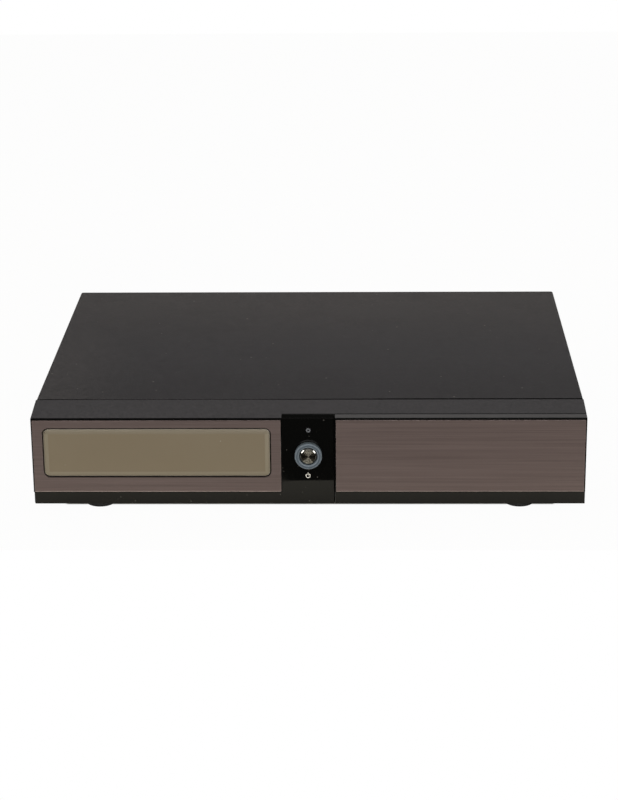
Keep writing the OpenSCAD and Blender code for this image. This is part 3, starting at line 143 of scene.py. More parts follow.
def remap(tree, value, lo, hi, toLo=0.0, toHi=1.0, smooth=False):
    node = addNode(tree, "MapRange", {0: value, 1: lo, 2: hi, 3: toLo, 4: toHi},
                   interpolation_type="SMOOTHSTEP" if smooth else "LINEAR")
    return node.outputs[0]


def fade(tree, value, ends, *to, **way):  # between two places, in millimetres
    return remap(tree, value, ends[0] * mm, ends[1] * mm, *to, **way)


def depthFade(tree, y, ends, *to, **way):  # between two depths behind the front plates
    return fade(tree, y, [at - rowMid for at in ends], *to, **way)


def step(tree, value, at, soft, *to, **way):  # a soft border at one place
    return fade(tree, value, (at - soft, at + soft), *to, **way)


def stretched(tree, vector, scale):
    return addNode(tree, "VectorMath", {0: vector, 1: scale}, operation="MULTIPLY").outputs[0]


def noise(tree, vector, scale, detail=2.0, rough=0.5):
    node = addNode(tree, "TexNoise", {"Vector": vector, "Scale": scale, "Detail": detail, "Roughness": rough})
    return node.outputs["Fac"]


def axes(tree, coord):
    return addNode(tree, "SeparateXYZ", {0: coord}).outputs


def edgeMark(tree):  # 1 on broken edges
    return addNode(tree, "Attribute", attribute_name="edge").outputs["Fac"]


def newTree(name, kind, inputs, outputs):
    # a word gives a socket's type; a number or a colour gives its type and its usual value
    tree = bpy.data.node_groups.new(name, kind)
    for label, value in inputs.items():
        sort = value if isinstance(value, str) else "Color" if isinstance(value, tuple) else "Float"
        socket = tree.interface.new_socket(label, in_out="INPUT", socket_type="NodeSocket" + sort)
        if sort != value:
            socket.default_value = value
    for label, sort in outputs.items():
        tree.interface.new_socket(label, in_out="OUTPUT", socket_type="NodeSocket" + sort)
    return tree, tree.nodes.new("NodeGroupInput").outputs, tree.nodes.new("NodeGroupOutput").inputs


def newFinish(name):
    mat = bpy.data.materials.new(name)
    mat.use_nodes = True
    return mat, mat.node_tree, mat.node_tree.nodes["Principled BSDF"]


# Effects that several finishes share
def makeFineGrain():
    tree, i, o = newTree("fineGrain", "ShaderNodeTree", {
        "Vector": "Vector", "Color": "Color", "Scale": 1300.0, "Contrast": 0.2, "Flecks": 0.0, "Drift": 0.1},
        {"Color": "Color", "Rough": "Float", "Height": "Float"})
    grain = noise(tree, i["Vector"], i["Scale"], 3.0, 0.6)
    drift = noise(tree, i["Vector"], 11.0, 2.0, 0.55)
    cells = addNode(tree, "TexVoronoi", {"Vector": i["Vector"], "Scale": times(tree, i["Scale"], 0.45)})
    chosen = addNode(tree, "SeparateColor", {0: cells.outputs["Color"]})
    near = remap(tree, cells.outputs["Distance"], 0.16, 0.34, 1.0, 0.0)
    pick = remap(tree, chosen.outputs[0], 0.9, 0.93)
    fleck = times(tree, times(tree, near, pick), i["Flecks"])
    swing = times(tree, minus(tree, grain, 0.5), i["Contrast"])
    slow = times(tree, minus(tree, drift, 0.5), i["Drift"])
    both = plus(tree, swing, slow)
    shaded = toned(tree, i["Color"], plus(tree, both, 1.0))
    wire(tree, blendColour(tree, fleck, shaded, (0.5, 0.49, 0.47, 1)), o["Color"])
    wire(tree, both, o["Rough"])
    wire(tree, plus(tree, grain, times(tree, fleck, 0.5)), o["Height"])
    return tree


def makeBrushLines():
    tree, i, o = newTree("brushLines", "ShaderNodeTree", {
        "Vector": "Vector", "Color": "Color", "Along": 14.0, "Across": 2600.0, "Contrast": 0.4},
        {"Color": "Color", "Rough": "Float", "Height": "Float"})
    scale = addNode(tree, "CombineXYZ", {0: i["Along"], 1: i["Across"], 2: i["Across"]}).outputs[0]
    fine = noise(tree, stretched(tree, i["Vector"], scale), 1.0, 3.0, 0.65)
    wider = stretched(tree, scale, (0.35, 0.28, 0.28))
    broad = noise(tree, stretched(tree, i["Vector"], wider), 1.0)
    both = plus(tree, times(tree, fine, 0.6), times(tree, broad, 0.4))
    swing = times(tree, minus(tree, both, 0.5), i["Contrast"])
    wire(tree, toned(tree, i["Color"], plus(tree, swing, 1.0)), o["Color"])
    wire(tree, swing, o["Rough"])
    wire(tree, both, o["Height"])
    return tree


def makeDustSpecks():
    tree, i, o = newTree("dustSpecks", "ShaderNodeTree", {
        "Vector": "Vector", "Color": "Color", "Tint": srgb(170, 166, 158), "Scale": 420.0, "Amount": 0.1,
        "Size": 0.22}, {"Color": "Color", "Mask": "Float"})
    cells = addNode(tree, "TexVoronoi", {"Vector": i["Vector"], "Scale": i["Scale"]})
    parts = addNode(tree, "SeparateColor", {0: cells.outputs["Color"]}).outputs
    reach = times(tree, i["Size"], parts[1])
    near = remap(tree, minus(tree, cells.outputs["Distance"], reach), -0.05, 0.05, 1.0, 0.0)
    pick = math2(tree, "LESS_THAN", parts[0], i["Amount"])
    mask = times(tree, times(tree, near, pick), parts[2])
    wire(tree, blendColour(tree, mask, i["Color"], i["Tint"]), o["Color"])
    wire(tree, mask, o["Mask"])
    return tree


def makeHandling():
    tree, i, o = newTree("handling", "ShaderNodeTree", {
        "Vector": "Vector", "Rough": 0.3, "Amount": 0.1, "Scale": 30.0}, {"Rough": "Float"})
    wide = noise(tree, i["Vector"], i["Scale"], 4.0, 0.6)
    fine = noise(tree, i["Vector"], times(tree, i["Scale"], 7.0))
    mixed = plus(tree, times(tree, wide, 0.75), times(tree, fine, 0.25))
    mask = remap(tree, mixed, 0.4, 0.68, smooth=True)
    wire(tree, plus(tree, i["Rough"], times(tree, mask, i["Amount"]), clamp=True), o["Rough"])
    return tree


def makeEdgeWear():
    tree, i, o = newTree("edgeWear", "ShaderNodeTree", {
        "Vector": "Vector", "Color": "Color", "Edge": 0.0, "Tint": (0.3, 0.29, 0.28, 1), "Amount": 0.4,
        "Scale": 260.0}, {"Color": "Color"})
    broken = remap(tree, noise(tree, i["Vector"], i["Scale"], 4.0, 0.65), 0.38, 0.66)
    mask = times(tree, times(tree, i["Edge"], broken), i["Amount"], clamp=True)
    wire(tree, blendColour(tree, mask, i["Color"], i["Tint"]), o["Color"])
    return tree


effects = {"grain": makeFineGrain(), "brush": makeBrushLines(), "dust": makeDustSpecks(),
           "smudge": makeHandling(), "wear": makeEdgeWear()}
print("shared effects built")

bumpDepth = 0.05 * mm
dustRough = 0.4
roughSwing = 0.3
plainSockets = {"metal": "Metallic", "coat": "Coat Weight", "coatRough": "Coat Roughness",
                "specular": "Specular IOR Level", "anisotropic": "Anisotropic"}


def surface(name, look):
    mat, tree, shader = newFinish(name)
    coord = addNode(tree, "TexCoord").outputs["Object"]
    colour, rough, height = srgb(*look["colour"]), look["rough"], None
    for key, socket in plainSockets.items():
        if key in look:
            shader.inputs[socket].default_value = look[key]
    if "paint" in look:  # a colour that changes over the piece
        colour = look["paint"](tree, coord, colour)
    if "shinePaint" in look:
        wire(tree, look["shinePaint"](tree, coord), shader.inputs["Specular IOR Level"])
    if "roughPaint" in look:
        rough = look["roughPaint"](tree, coord, rough)

    def place(effect, **inputs):
        # an effect's settings go to the group's sockets of the same names
        node = addNode(tree, "Group", dict(inputs, Vector=coord), node_tree=effects[effect])
        for key, value in look[effect].items():
            if key.capitalize() in node.inputs:
                value = srgb(*value) if isinstance(value, tuple) else value
                node.inputs[key.capitalize()].default_value = value
        return node.outputs

    def roughen(by, share):
        return plus(tree, rough, times(tree, by, share), clamp=True)

    for effect in ("grain", "brush"):
        if effect in look:
            out = place(effect, Color=colour)
            colour, height = out["Color"], out["Height"]
            rough = roughen(out["Rough"], look[effect].get("swing", roughSwing))
    if "wear" in look:
        edge = edgeMark(tree)
        if "where" in look["wear"]:
            edge = times(tree, edge, look["wear"]["where"](tree, coord))
        colour = place("wear", Color=colour, Edge=edge)["Color"]
    if "dust" in look:
        out = place("dust", Color=colour)
        colour, rough = out["Color"], roughen(out["Mask"], dustRough)
    if "smudge" in look:
        rough = place("smudge", Rough=rough)["Rough"]
    wire(tree, colour, shader.inputs["Base Color"])
    wire(tree, rough, shader.inputs["Roughness"])
    if height is not None and "bump" in look:
        bump = addNode(tree, "Bump", {"Strength": look["bump"], "Distance": bumpDepth, "Height": height})
        wire(tree, bump.outputs[0], shader.inputs["Normal"])
    if "tangent" in look:
        turn = addNode(tree, "Tangent", direction_type="UV_MAP", uv_map=look["tangent"])
        wire(tree, turn.outputs[0], shader.inputs["Tangent"])
    return mat


def boxMask(tree, coord, lo, hi, soft):
    # 1 inside a box in x and z, fading over the soft margin, in millimetres on the bench
    x, _, z = axes(tree, coord)
    sides = []
    for value, a, b in ((x, lo[0], hi[0]), (z, lo[1], hi[1])):
        rise = step(tree, value, a, soft, smooth=True)
        sides.append(times(tree, rise, step(tree, value, b, soft, 1.0, 0.0, smooth=True)))
    return times(tree, *sides)


# Finishes of the outside. Where a piece has two colours, the border is told by place, in bench millimetres
# the cover's look also sizes the painted shadow of the front joint, the painted sheen towards the back and
# the painted shade at the front
coverLook = {"cut": 27.3, "turn": (0.15, 1.4), "shadeSpread": (-45.0, 60.0), "soft": 0.2, "endShadeWidth": (0.6, 0.15),
             "endShadeSpread": (-145.0, -132.0), "shade": (8, 8, 8), "shine": 0.18, "veil": (63, 60, 59),
             "sheenDepths": (110.0, 262.0), "side": (-168.0, -105.0), "sideSheen": 0.6, "patches": 9.0,
             "patchTone": (0.9, 1.05), "shadedFront": (30.0, 130.0), "frontShade": (46, 44, 45)}
frontLook = {"edge": 62.9, "slope": 3.1 / 26.8, "skin": 0.12, "skinSoft": 0.06, "side": 169.9,
             "sideSoft": 0.05, "seam": 6.4, "seamShade": (0.85, 1.0), "shadedNose": (1.0, 1.3), "gloss": -16.4,
             "bareAndShade": (13, 13, 13), "shine": 0.22, "groove": (50.0, 52.0)}
ringLook = {"fade": (-0.2, 0.2), "deep": (5, 5, 5), "turned": (-3.0, -2.6), "side": (74, 82, 86),
            "rim": (128, 136, 143), "share": 0.55}
plateLook = {"cut": 15.6, "soft": 0.05, "pale": (190, 172, 166), "reach": 1.0, "recessShade": (30, 23, 17),
             "shadow": (0.88, 0.98), "upper": (-4.0, -1.5), "shade": (16, 12, 9)}
glossLook = {"top": (62.7, 62.95), "shine": (0.5, 0.12)}
flapLook = {"lip": 63.03, "soft": 0.04, "gloss": (8, 8, 7), "polish": 0.05}
windowLook = {"x": (-162.7, -23.6), "z": (25.3, 55.9), "border": 3.0, "corner": 3.4, "soft": 0.22,
              "field": (122, 111, 92), "drift": 26.0, "driftTone": (0.88, 1.04), "rim": (212, 204, 186),
              "rimHighlight": 0.8, "head": (124, 115, 98), "headSoft": 0.2, "side": 1.2, "sideSoft": 0.1,
              "browShade": 0.1, "browShadeSoft": 0.05, "recessShade": (24, 18, 12), "leftEnd": (104, 92, 82), "end": 0.5,
              "endSoft": 0.1}
lensLook = {"z": 55.15, "heart": 0.62, "rim": 1.28, "soft": 0.25, "dark": (26, 26, 28)}


def patchy(tree, coord, scale, tone):
    return remap(tree, noise(tree, coord, scale, 3.0, 0.6), 0.3, 0.7, *tone)


def clearOfJointShade(tree, coord):
    # 0 on a band along the front edge, painted shadow of the joint with the rail, wider on the right and at
    # the left end
    x, y, _ = axes(tree, coord)
    turns = []
    for place, size in (("shadeSpread", "turn"), ("endShadeSpread", "endShadeWidth")):
        turns.append(fade(tree, x, coverLook[place], *(to * mm for to in coverLook[size])))
    past = minus(tree, y, bench(0, coverLook["cut"], 0).y)
    past = minus(tree, past, math2(tree, "MAXIMUM", *turns))
    return fade(tree, past, (0.0, coverLook["soft"]))


def coverShine(tree, coord):
    return times(tree, clearOfJointShade(tree, coord), coverLook["shine"])


def coverPaint(tree, coord, colour):
    # painted sheen, lighter and warmer towards the back and the left; painted shade darkening the front; and
    # a dark band along the front edge, painted shadow of the joint
    x, y, _ = axes(tree, coord)
    # painted sheen: lighter and warmer towards the back and the left, in patches
    back = depthFade(tree, y, coverLook["sheenDepths"], smooth=True)
    left = fade(tree, x, coverLook["side"], coverLook["sideSheen"], 0.0, smooth=True)
    patch = patchy(tree, coord, coverLook["patches"], coverLook["patchTone"])
    veil = times(tree, math2(tree, "MAXIMUM", back, left), patch, clamp=True)
    # painted shade: the front of the cover is darker
    front = depthFade(tree, y, coverLook["shadedFront"], 1.0, 0.0, smooth=True)
    colour = blendColour(tree, front, colour, srgb(*coverLook["frontShade"]))
    colour = blendColour(tree, veil, colour, srgb(*coverLook["veil"]))
    # painted shadow: the band along the front edge takes the shade colour
    return blendColour(tree, clearOfJointShade(tree, coord), srgb(*coverLook["shade"]), colour)


def frontShine(tree, coord):
    # the nose over the plates lies in the groove and shows no shine
    _, y, z = axes(tree, coord)
    behind = depthFade(tree, y, frontLook["shadedNose"])
    below = fade(tree, z, frontLook["groove"], 1.0, 0.0)
    return times(tree, math2(tree, "MAXIMUM", behind, below), frontLook["shine"])


def frontPaint(tree, coord, colour):
    # paint lies on the sloping strip behind its nose and on the outer sides; the rest is bare black plastic,
    # and the black nose and lip face over the plates and the black band at the flap seam are painted shade of
    # the groove and the seam
    x, y, z = axes(tree, coord)
    slope, skin = frontLook["slope"], frontLook["skin"]
    rail = plus(tree, times(tree, y, slope), (frontLook["edge"] + slope * rowMid) * mm)
    onTop = fade(tree, minus(tree, z, rail), (-skin - frontLook["skinSoft"], -skin))
    # painted shade: the nose over the plates stays black
    onTop = times(tree, onTop, depthFade(tree, y, frontLook["shadedNose"]))
    onSide = step(tree, math2(tree, "ABSOLUTE", x), frontLook["side"], frontLook["sideSoft"])
    # painted shade: a black band along the flap seam
    seam = depthFade(tree, y, [frontLook["seam"] + wide for wide in frontLook["seamShade"]], 1.0, 0.0)
    seamShadow = times(tree, seam, math2(tree, "GREATER_THAN", x, frontLook["gloss"] * mm))
    painted = times(tree, math2(tree, "MAXIMUM", onTop, onSide), minus(tree, 1.0, seamShadow))
    return blendColour(tree, painted, srgb(*frontLook["bareAndShade"]), colour)


def fromWindow(tree, coord):
    # how far a point lies outside the window's rounded outline
    x, _, z = axes(tree, coord)
    corner, outside = windowLook["corner"], []
    for value, (lo, hi) in ((x, windowLook["x"]), (z, windowLook["z"])):
        away = math2(tree, "ABSOLUTE", minus(tree, value, (lo + hi) / 2 * mm))
        past = minus(tree, away, ((hi - lo) / 2 - corner) * mm)
        outside.append(math2(tree, "MAXIMUM", past, 0.0))
    flat = addNode(tree, "CombineXYZ", {0: outside[0], 1: outside[1]}).outputs[0]
    reach = addNode(tree, "VectorMath", {0: flat}, operation="LENGTH").outputs["Value"]
    return minus(tree, reach, corner * mm)


def aboutWindow(tree, coord, left):
    # 1 at the window and round it; its left margin is given apart
    (x0, x1), (z0, z1), reach = windowLook["x"], windowLook["z"], plateLook["reach"]
    return boxMask(tree, coord, (x0 - left, z0 - reach), (x1 + reach, z1 + reach), plateLook["soft"])


def awayFromWindow(tree, coord):
    return minus(tree, 1.0, aboutWindow(tree, coord, plateLook["reach"]))


def platePaint(tree, coord, colour):
    # the chamfer along the lower edge is cut through the brown, to paler metal, which is also a painted
    # highlight along that edge; the window's edge is painted shade, dark but for its left end, and a band
    # above its upper part is painted shadow
    about = aboutWindow(tree, coord, -plateLook["reach"])
    # painted shade on the edges round the window
    colour = blendColour(tree, times(tree, edgeMark(tree), about), colour, srgb(*plateLook["recessShade"]))
    z = axes(tree, coord)[2]
    near = fade(tree, fromWindow(tree, coord), plateLook["shadow"], 1.0, 0.0)
    upper = fade(tree, z, [windowLook["z"][1] + at for at in plateLook["upper"]])
    colour = blendColour(tree, times(tree, near, upper), colour, srgb(*plateLook["shade"]))
    # a paler chamfer along the lower edge, partly a painted highlight
    cut = step(tree, z, plateLook["cut"], plateLook["soft"], 1.0, 0.0)
    return blendColour(tree, cut, colour, srgb(*plateLook["pale"]))


def ringPaint(tree, coord, colour):
    # a painted highlight on its front edges, a darker side that is painted shade, and black from just before
    # the gloss face inward, painted shade where it passes into the gloss
    y = axes(tree, coord)[1]
    # painted highlight on the front edges
    face = blendColour(tree, times(tree, edgeMark(tree), ringLook["share"]), colour, srgb(*ringLook["rim"]))
    # painted shade on the side
    turned = depthFade(tree, y, ringLook["turned"], smooth=True)
    face = blendColour(tree, turned, face, srgb(*ringLook["side"]))
    # painted shade: black where the ring passes into the gloss
    return blendColour(tree, depthFade(tree, y, ringLook["fade"], smooth=True), face, srgb(*ringLook["deep"]))


def glossShine(tree, coord):
    # the sloping top of the gloss centre is duller than its face
    return fade(tree, axes(tree, coord)[2], glossLook["top"], *glossLook["shine"])


def flapMask(tree, coord):
    return step(tree, axes(tree, coord)[2], flapLook["lip"], flapLook["soft"])


def flapPaint(tree, coord, colour):
    # gloss black below the lip's top; the black on the front of its sloping top is painted shade of the
    # groove over the plate
    return blendColour(tree, flapMask(tree, coord), srgb(*flapLook["gloss"]), colour)


def flapRough(tree, coord, rough):
    return remap(tree, flapMask(tree, coord), 0.0, 1.0, flapLook["polish"], rough)


def windowPaint(tree, coord, colour):
    # a clear field inside a frosted border whose top is darkened as painted shade, with a bright outer edge
    # that is a painted highlight; the sides and the brow lie in the recess and are painted its shade, paler
    # at the left end
    (x0, x1), (z0, z1), w = windowLook["x"], windowLook["z"], windowLook["border"]
    x, y, z = axes(tree, coord)
    inside = boxMask(tree, coord, (x0 + w, z0 + w), (x1 - w, z1 - w), windowLook["soft"])
    drift = patchy(tree, coord, windowLook["drift"], windowLook["driftTone"])
    # painted shade: the top border is darker
    head = step(tree, z, z1 - w, windowLook["headSoft"])
    colour = blendColour(tree, head, colour, srgb(*windowLook["head"]))
    shade = blendColour(tree, times(tree, inside, drift), colour, srgb(*windowLook["field"]))
    # painted highlight along the window's outer edge
    rim = times(tree, edgeMark(tree), windowLook["rimHighlight"])
    shade = blendColour(tree, rim, shade, srgb(*windowLook["rim"]))
    # painted shade of the recess on the sides and the brow, paler at the left end
    leftEnd = step(tree, x, x0 + windowLook["end"], windowLook["endSoft"], 1.0, 0.0)
    recessShade = blendColour(tree, leftEnd, srgb(*windowLook["recessShade"]), srgb(*windowLook["leftEnd"]))
    sides = step(tree, y, windowLook["side"] - rowMid, windowLook["sideSoft"])
    browShade = step(tree, z, z1 - windowLook["browShade"], windowLook["browShadeSoft"])
    return blendColour(tree, math2(tree, "MAXIMUM", sides, browShade), shade, recessShade)


def lensPaint(tree, coord, colour):
    # a pale ring about a dark well, told by the distance from the lens's own axis
    x, _, z = axes(tree, coord)
    flat = addNode(tree, "CombineXYZ", {0: x, 2: minus(tree, z, lensLook["z"] * mm)}).outputs[0]
    away = addNode(tree, "VectorMath", {0: flat}, operation="LENGTH").outputs["Value"]
    rise = step(tree, away, lensLook["heart"], lensLook["soft"], smooth=True)
    fall = step(tree, away, lensLook["rim"], lensLook["soft"], 1.0, 0.0, smooth=True)
    return blendColour(tree, times(tree, rise, fall), srgb(*lensLook["dark"]), colour)


def tintPaint(tree, coord, colour):
    return addNode(tree, "Attribute", attribute_name="tint").outputs["Color"]


looks = {
    "cover_paint": {"colour": (52, 50, 51), "rough": 0.68, "bump": 0.35, "specular": coverLook["shine"],
                    "shinePaint": coverShine, "paint": coverPaint,
                    "grain": {"scale": 520, "contrast": 2.3, "drift": 0.2},
                    # dark edge wear that is painted shade along the cover's edges, standing for the dark
                    # walls' reflection
                    "wear": {"tint": (40, 38, 38), "amount": 0.5},
                    "dust": {"scale": 300, "amount": 0.05, "size": 0.2, "tint": (112, 108, 104)},
                    "smudge": {"amount": 0.05, "scale": 22}},
    "rear_paint": {"colour": (44, 44, 45), "rough": 0.5, "bump": 0.25,
                   "grain": {"scale": 1900, "contrast": 0.35, "flecks": 0.1, "drift": 0.1},
                   "wear": {"tint": (120, 120, 120), "amount": 0.4}},
    "front_moulding": {"colour": (53, 51, 52), "rough": 0.55, "bump": 0.22, "specular": frontLook["shine"],
                       "shinePaint": frontShine, "paint": frontPaint,
                       "grain": {"scale": 700, "contrast": 2.2, "drift": 0.15},
                       "wear": {"tint": (88, 86, 86), "amount": 0.4}, "smudge": {"amount": 0.08}},
    "gloss_black": {"colour": (6, 6, 5), "rough": 0.035, "specular": 0.5, "shinePaint": glossShine,
                    "dust": {"scale": 437, "amount": 0.4, "size": 0.17, "tint": (74, 72, 66)},
                    "smudge": {"amount": 0.1, "scale": 60}},
    "flap_moulding": {"colour": (60, 58, 58), "rough": 0.42, "paint": flapPaint, "roughPaint": flapRough,
                      "dust": {"scale": 300, "amount": 0.05, "size": 0.14},
                      "smudge": {"amount": 0.06, "scale": 50}},
    "brown_plate": {"colour": (99, 86, 82), "rough": 0.5, "metal": 0.15, "bump": 0.12, "anisotropic": 0.5,
                    "paint": platePaint, "specular": 0.3, "tangent": "brushed",
                    "brush": {"along": 15, "across": 2600, "contrast": 1.15, "swing": 0.35},
                    # pale edge wear, strong enough to be a painted highlight along the plate's edges too
                    "wear": {"tint": (150, 135, 130), "amount": 0.8, "where": awayFromWindow},
                    "dust": {"scale": 240, "amount": 0.03, "size": 0.12},
                    "smudge": {"amount": 0.06, "scale": 25}},
    "window_acrylic": {"colour": (132, 123, 105), "rough": 0.3, "paint": windowPaint, "specular": 0.15,
                       "dust": {"scale": 260, "amount": 0.06, "size": 0.12},
                       "smudge": {"amount": 0.1, "scale": 40}},
    "ring_plastic": {"colour": (82, 91, 98), "rough": 0.24, "paint": ringPaint, "specular": 0.06,
                     "smudge": {"amount": 0.12, "scale": 150}},
    "button_metal": {"colour": (196, 192, 180), "rough": 0.26, "metal": 1.0,
                     "smudge": {"amount": 0.08, "scale": 120}},
    "lamp_lens": {"colour": (112, 114, 117), "rough": 0.16, "paint": lensPaint, "specular": 0.3,
                  "smudge": {"amount": 0.1, "scale": 200}},
    "foot_plastic": {"colour": (36, 36, 37), "rough": 0.55, "bump": 0.2,
                     "grain": {"scale": 1500, "contrast": 0.25, "drift": 0.1},
                     "wear": {"tint": (70, 70, 70)}},
    "foot_rubber": {"colour": (22, 22, 22), "rough": 0.85, "bump": 0.3,
                    "grain": {"scale": 1100, "contrast": 0.4, "flecks": 0.1, "drift": 0.2}},
    "black_screws": {"colour": (44, 43, 42), "rough": 0.4, "metal": 1.0, "wear": {"tint": (150, 148, 144)},
                     "smudge": {"amount": 0.15, "scale": 300}},
    "zinc_screws": {"colour": (176, 176, 170), "rough": 0.35, "metal": 1.0,
                    "smudge": {"amount": 0.2, "scale": 300}},
}

# Finishes of the module bay, the rear sockets and the inside
spangle = {"scale": 130.0, "share": 0.35, "colour": (205, 208, 210)}
tracks = {"patch": 55.0, "perMetre": 640.0, "width": 0.45, "share": 0.35, "colour": (96, 150, 92)}


def zincSpangle(tree, coord, colour):
    cells = addNode(tree, "TexVoronoi", {"Vector": coord, "Scale": spangle["scale"]})
    tone = addNode(tree, "SeparateColor", {0: cells.outputs["Color"]}).outputs[0]
    return blendColour(tree, times(tree, tone, spangle["share"]), colour, srgb(*spangle["colour"]))


def copperTracks(tree, coord, colour):
    # runs of copper under the solder mask, along x in some patches and along y in others
    patch = addNode(tree, "TexVoronoi", {"Vector": coord, "Scale": tracks["patch"]}, distance="CHEBYCHEV")
    chance = addNode(tree, "SeparateColor", {0: patch.outputs["Color"]}).outputs[1]
    pick = math2(tree, "GREATER_THAN", chance, 0.5)
    lines = []
    for across in axes(tree, coord)[0:2]:
        wave = math2(tree, "FRACT", times(tree, across, tracks["perMetre"]))
        lines.append(math2(tree, "LESS_THAN", wave, tracks["width"]))
    track = addNode(tree, "Mix", {0: pick, 2: lines[0], 3: lines[1]}).outputs[0]
    return blendColour(tree, times(tree, track, tracks["share"]), colour, srgb(*tracks["colour"]))


def moulded(colour, rough, **extra):
    return dict({"colour": colour, "rough": rough, "bump": 0.2,
                 "grain": {"scale": 1600, "contrast": 0.25, "drift": 0.12},
                 "wear": {"tint": tuple(min(c + 45, 255) for c in colour), "amount": 0.35},
                 "smudge": {"amount": 0.08, "scale": 60}}, **extra)


def plated(colour, rough, **extra):
    return dict({"colour": colour, "rough": rough, "metal": 1.0, "bump": 0.06,
                 "brush": {"along": 60, "across": 1500, "contrast": 0.18},
                 "smudge": {"amount": 0.14, "scale": 70}}, **extra)


looks.update({
    "bay_plastic": moulded((30, 30, 31), 0.46), "eject_plastic": moulded((50, 50, 52), 0.4),
    "cage_plastic": moulded((150, 152, 154), 0.5), "socket_plastic": moulded((27, 27, 28), 0.42),
    "black_parts": moulded((33, 33, 34), 0.5), "white_plastic": moulded((216, 215, 210), 0.45),
    "rocker_plastic": moulded((22, 22, 23), 0.3), "fan_plastic": moulded((30, 30, 31), 0.44),
    "harness_yellow": moulded((196, 158, 62), 0.42), "sata_red": moulded((150, 34, 28), 0.4),
    "ribbon_grey": moulded((150, 151, 152), 0.5), "transformer_core": moulded((74, 66, 54), 0.55),
    "capacitor_sleeve": moulded((36, 48, 70), 0.3), "magnet_black": moulded((66, 66, 68), 0.6),
    "ring_colours": moulded((170, 56, 48), 0.4, paint=tintPaint),
    "green_board": moulded((44, 92, 58), 0.35, paint=copperTracks),
    "brown_board": moulded((140, 112, 70), 0.5, paint=copperTracks),
    "chassis_steel": plated((172, 175, 178), 0.36, paint=zincSpangle),
    "tin_shell": plated((188, 190, 191), 0.24), "nut_nickel": plated((200, 192, 172), 0.22),
    "standoff_brass": plated((196, 160, 92), 0.3), "heatsink_metal": plated((138, 141, 143), 0.34),
    "disk_casting": plated((120, 122, 124), 0.45), "disk_lid": plated((186, 188, 190), 0.2),
    "display_glass": {"colour": (30, 46, 43), "rough": 0.08, "coat": 0.6, "coatRough": 0.03,
                      "smudge": {"amount": 0.1, "scale": 80}},
})
finishes = {name: surface(name, look) for name, look in looks.items()}
unmade = sorted({m["slot"] for m in frame["record"]["materials"]} - set(finishes))
print("finishes built:", len(finishes), "slots without one:", unmade)


# Every CAD node but the button and the screws is dressed: its triangles are joined, its edges broken and its
# curves shaded smooth
dressing = {"join": 0.002, "flat": 0.4, "sharp": 40, "segments": 2}  # millimetres and degrees


def meshFrom(bm, name):
    mesh = bpy.data.meshes.new(name)
    bm.to_mesh(mesh)
    bm.free()
    return mesh


def bakeModifiers(piece):
    graph = bpy.context.evaluated_depsgraph_get()
    shaped = piece.evaluated_get(graph)
    made = bpy.data.meshes.new_from_object(shaped, preserve_all_data_layers=True, depsgraph=graph)
    made.name = piece.name
    piece.modifiers.clear()
    piece.data = made


def smoothMesh(piece, sharp=50):
    piece.data.shade_smooth()
    piece.data.set_sharp_from_angle(angle=math.radians(sharp))
    weigh = piece.modifiers.new("evenNormals", "WEIGHTED_NORMAL")
    weigh.keep_sharp = True
    bakeModifiers(piece)


def addObject(name, data):
    piece = bpy.data.objects.new(name, data)
    bpy.context.scene.collection.objects.link(piece)
    return piece


def addPiece(mesh, material):
    mesh.materials.clear()
    mesh.materials.append(material)
    return addObject(mesh.name, mesh)


def seat(piece, body, slot, *nodes):
    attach(piece, body)
    if nodes:
        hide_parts(*nodes)
    return piece


def joinedMesh(node):
    bm = bmesh.new()
    bm.from_mesh(frame["nodes"][node].data)
    bmesh.ops.remove_doubles(bm, verts=bm.verts, dist=dressing["join"] * mm)
    bmesh.ops.dissolve_limit(bm, angle_limit=math.radians(dressing["flat"]), verts=bm.verts, edges=bm.edges)
    return bm


def breakEdges(bm, size):
    mark = bm.faces.layers.float.new("edge")
    sharp = math.radians(dressing["sharp"])
    chosen = [e for e in bm.edges if len(e.link_faces) == 2 and e.calc_face_angle(0) > sharp]
    if chosen and size > 0:
        made = bmesh.ops.bevel(bm, geom=chosen, offset=size * mm, offset_type="OFFSET", affect="EDGES",
                               segments=dressing["segments"], profile=0.5, clamp_overlap=True,
                               loop_slide=True)
        for face in made["faces"]:
            if face.is_valid:
                face[mark] = 1.0


def dressNode(node, bevel):
    bm = joinedMesh(node)
    breakEdges(bm, bevel)
    piece = addPiece(meshFrom(bm, node + "_dressed"), finishes[slotOf[node]])
    smoothMesh(piece)
    return seat(piece, bodyOf[node], slotOf[node], node)


def looseParts(bm):
    # the vertices of each separate solid in a mesh
    seen, parts = set(), []
    for start in bm.verts:
        if start in seen:
            continue
        stack, part = [start], []
        seen.add(start)
        while stack:
            v = stack.pop()
            part.append(v)
            for e in v.link_edges:
                w = e.other_vert(v)
                if w not in seen:
                    seen.add(w)
                    stack.append(w)
        parts.append(part)
    return parts


def boxOf(part):
    return (Vector(tuple(min(v.co[k] for v in part) for k in range(3))),
            Vector(tuple(max(v.co[k] for v in part) for k in range(3))))


def tintRings(piece):
    # each phono ring takes the next colour, column by column from below
    bm = bmesh.new()
    bm.from_mesh(piece.data)
    layer = bm.verts.layers.float_color.new("tint")
    parts = sorted(looseParts(bm), key=lambda part: tuple(round(c, 3) for c in boxOf(part)[0].xz))
    for k, part in enumerate(parts):
        for v in part:
            v[layer] = srgb(*ringTints[k % len(ringTints)])
    bm.to_mesh(piece.data)
    bm.free()


def brushedMap(piece):
    # a flat map along the plate, so that the highlights stretch across the brushing
    layer = piece.data.uv_layers.new(name="brushed")
    for loop in piece.data.loops:
        co = piece.data.vertices[loop.vertex_index].co
        layer.data[loop.index].uv = (co.x, co.z)


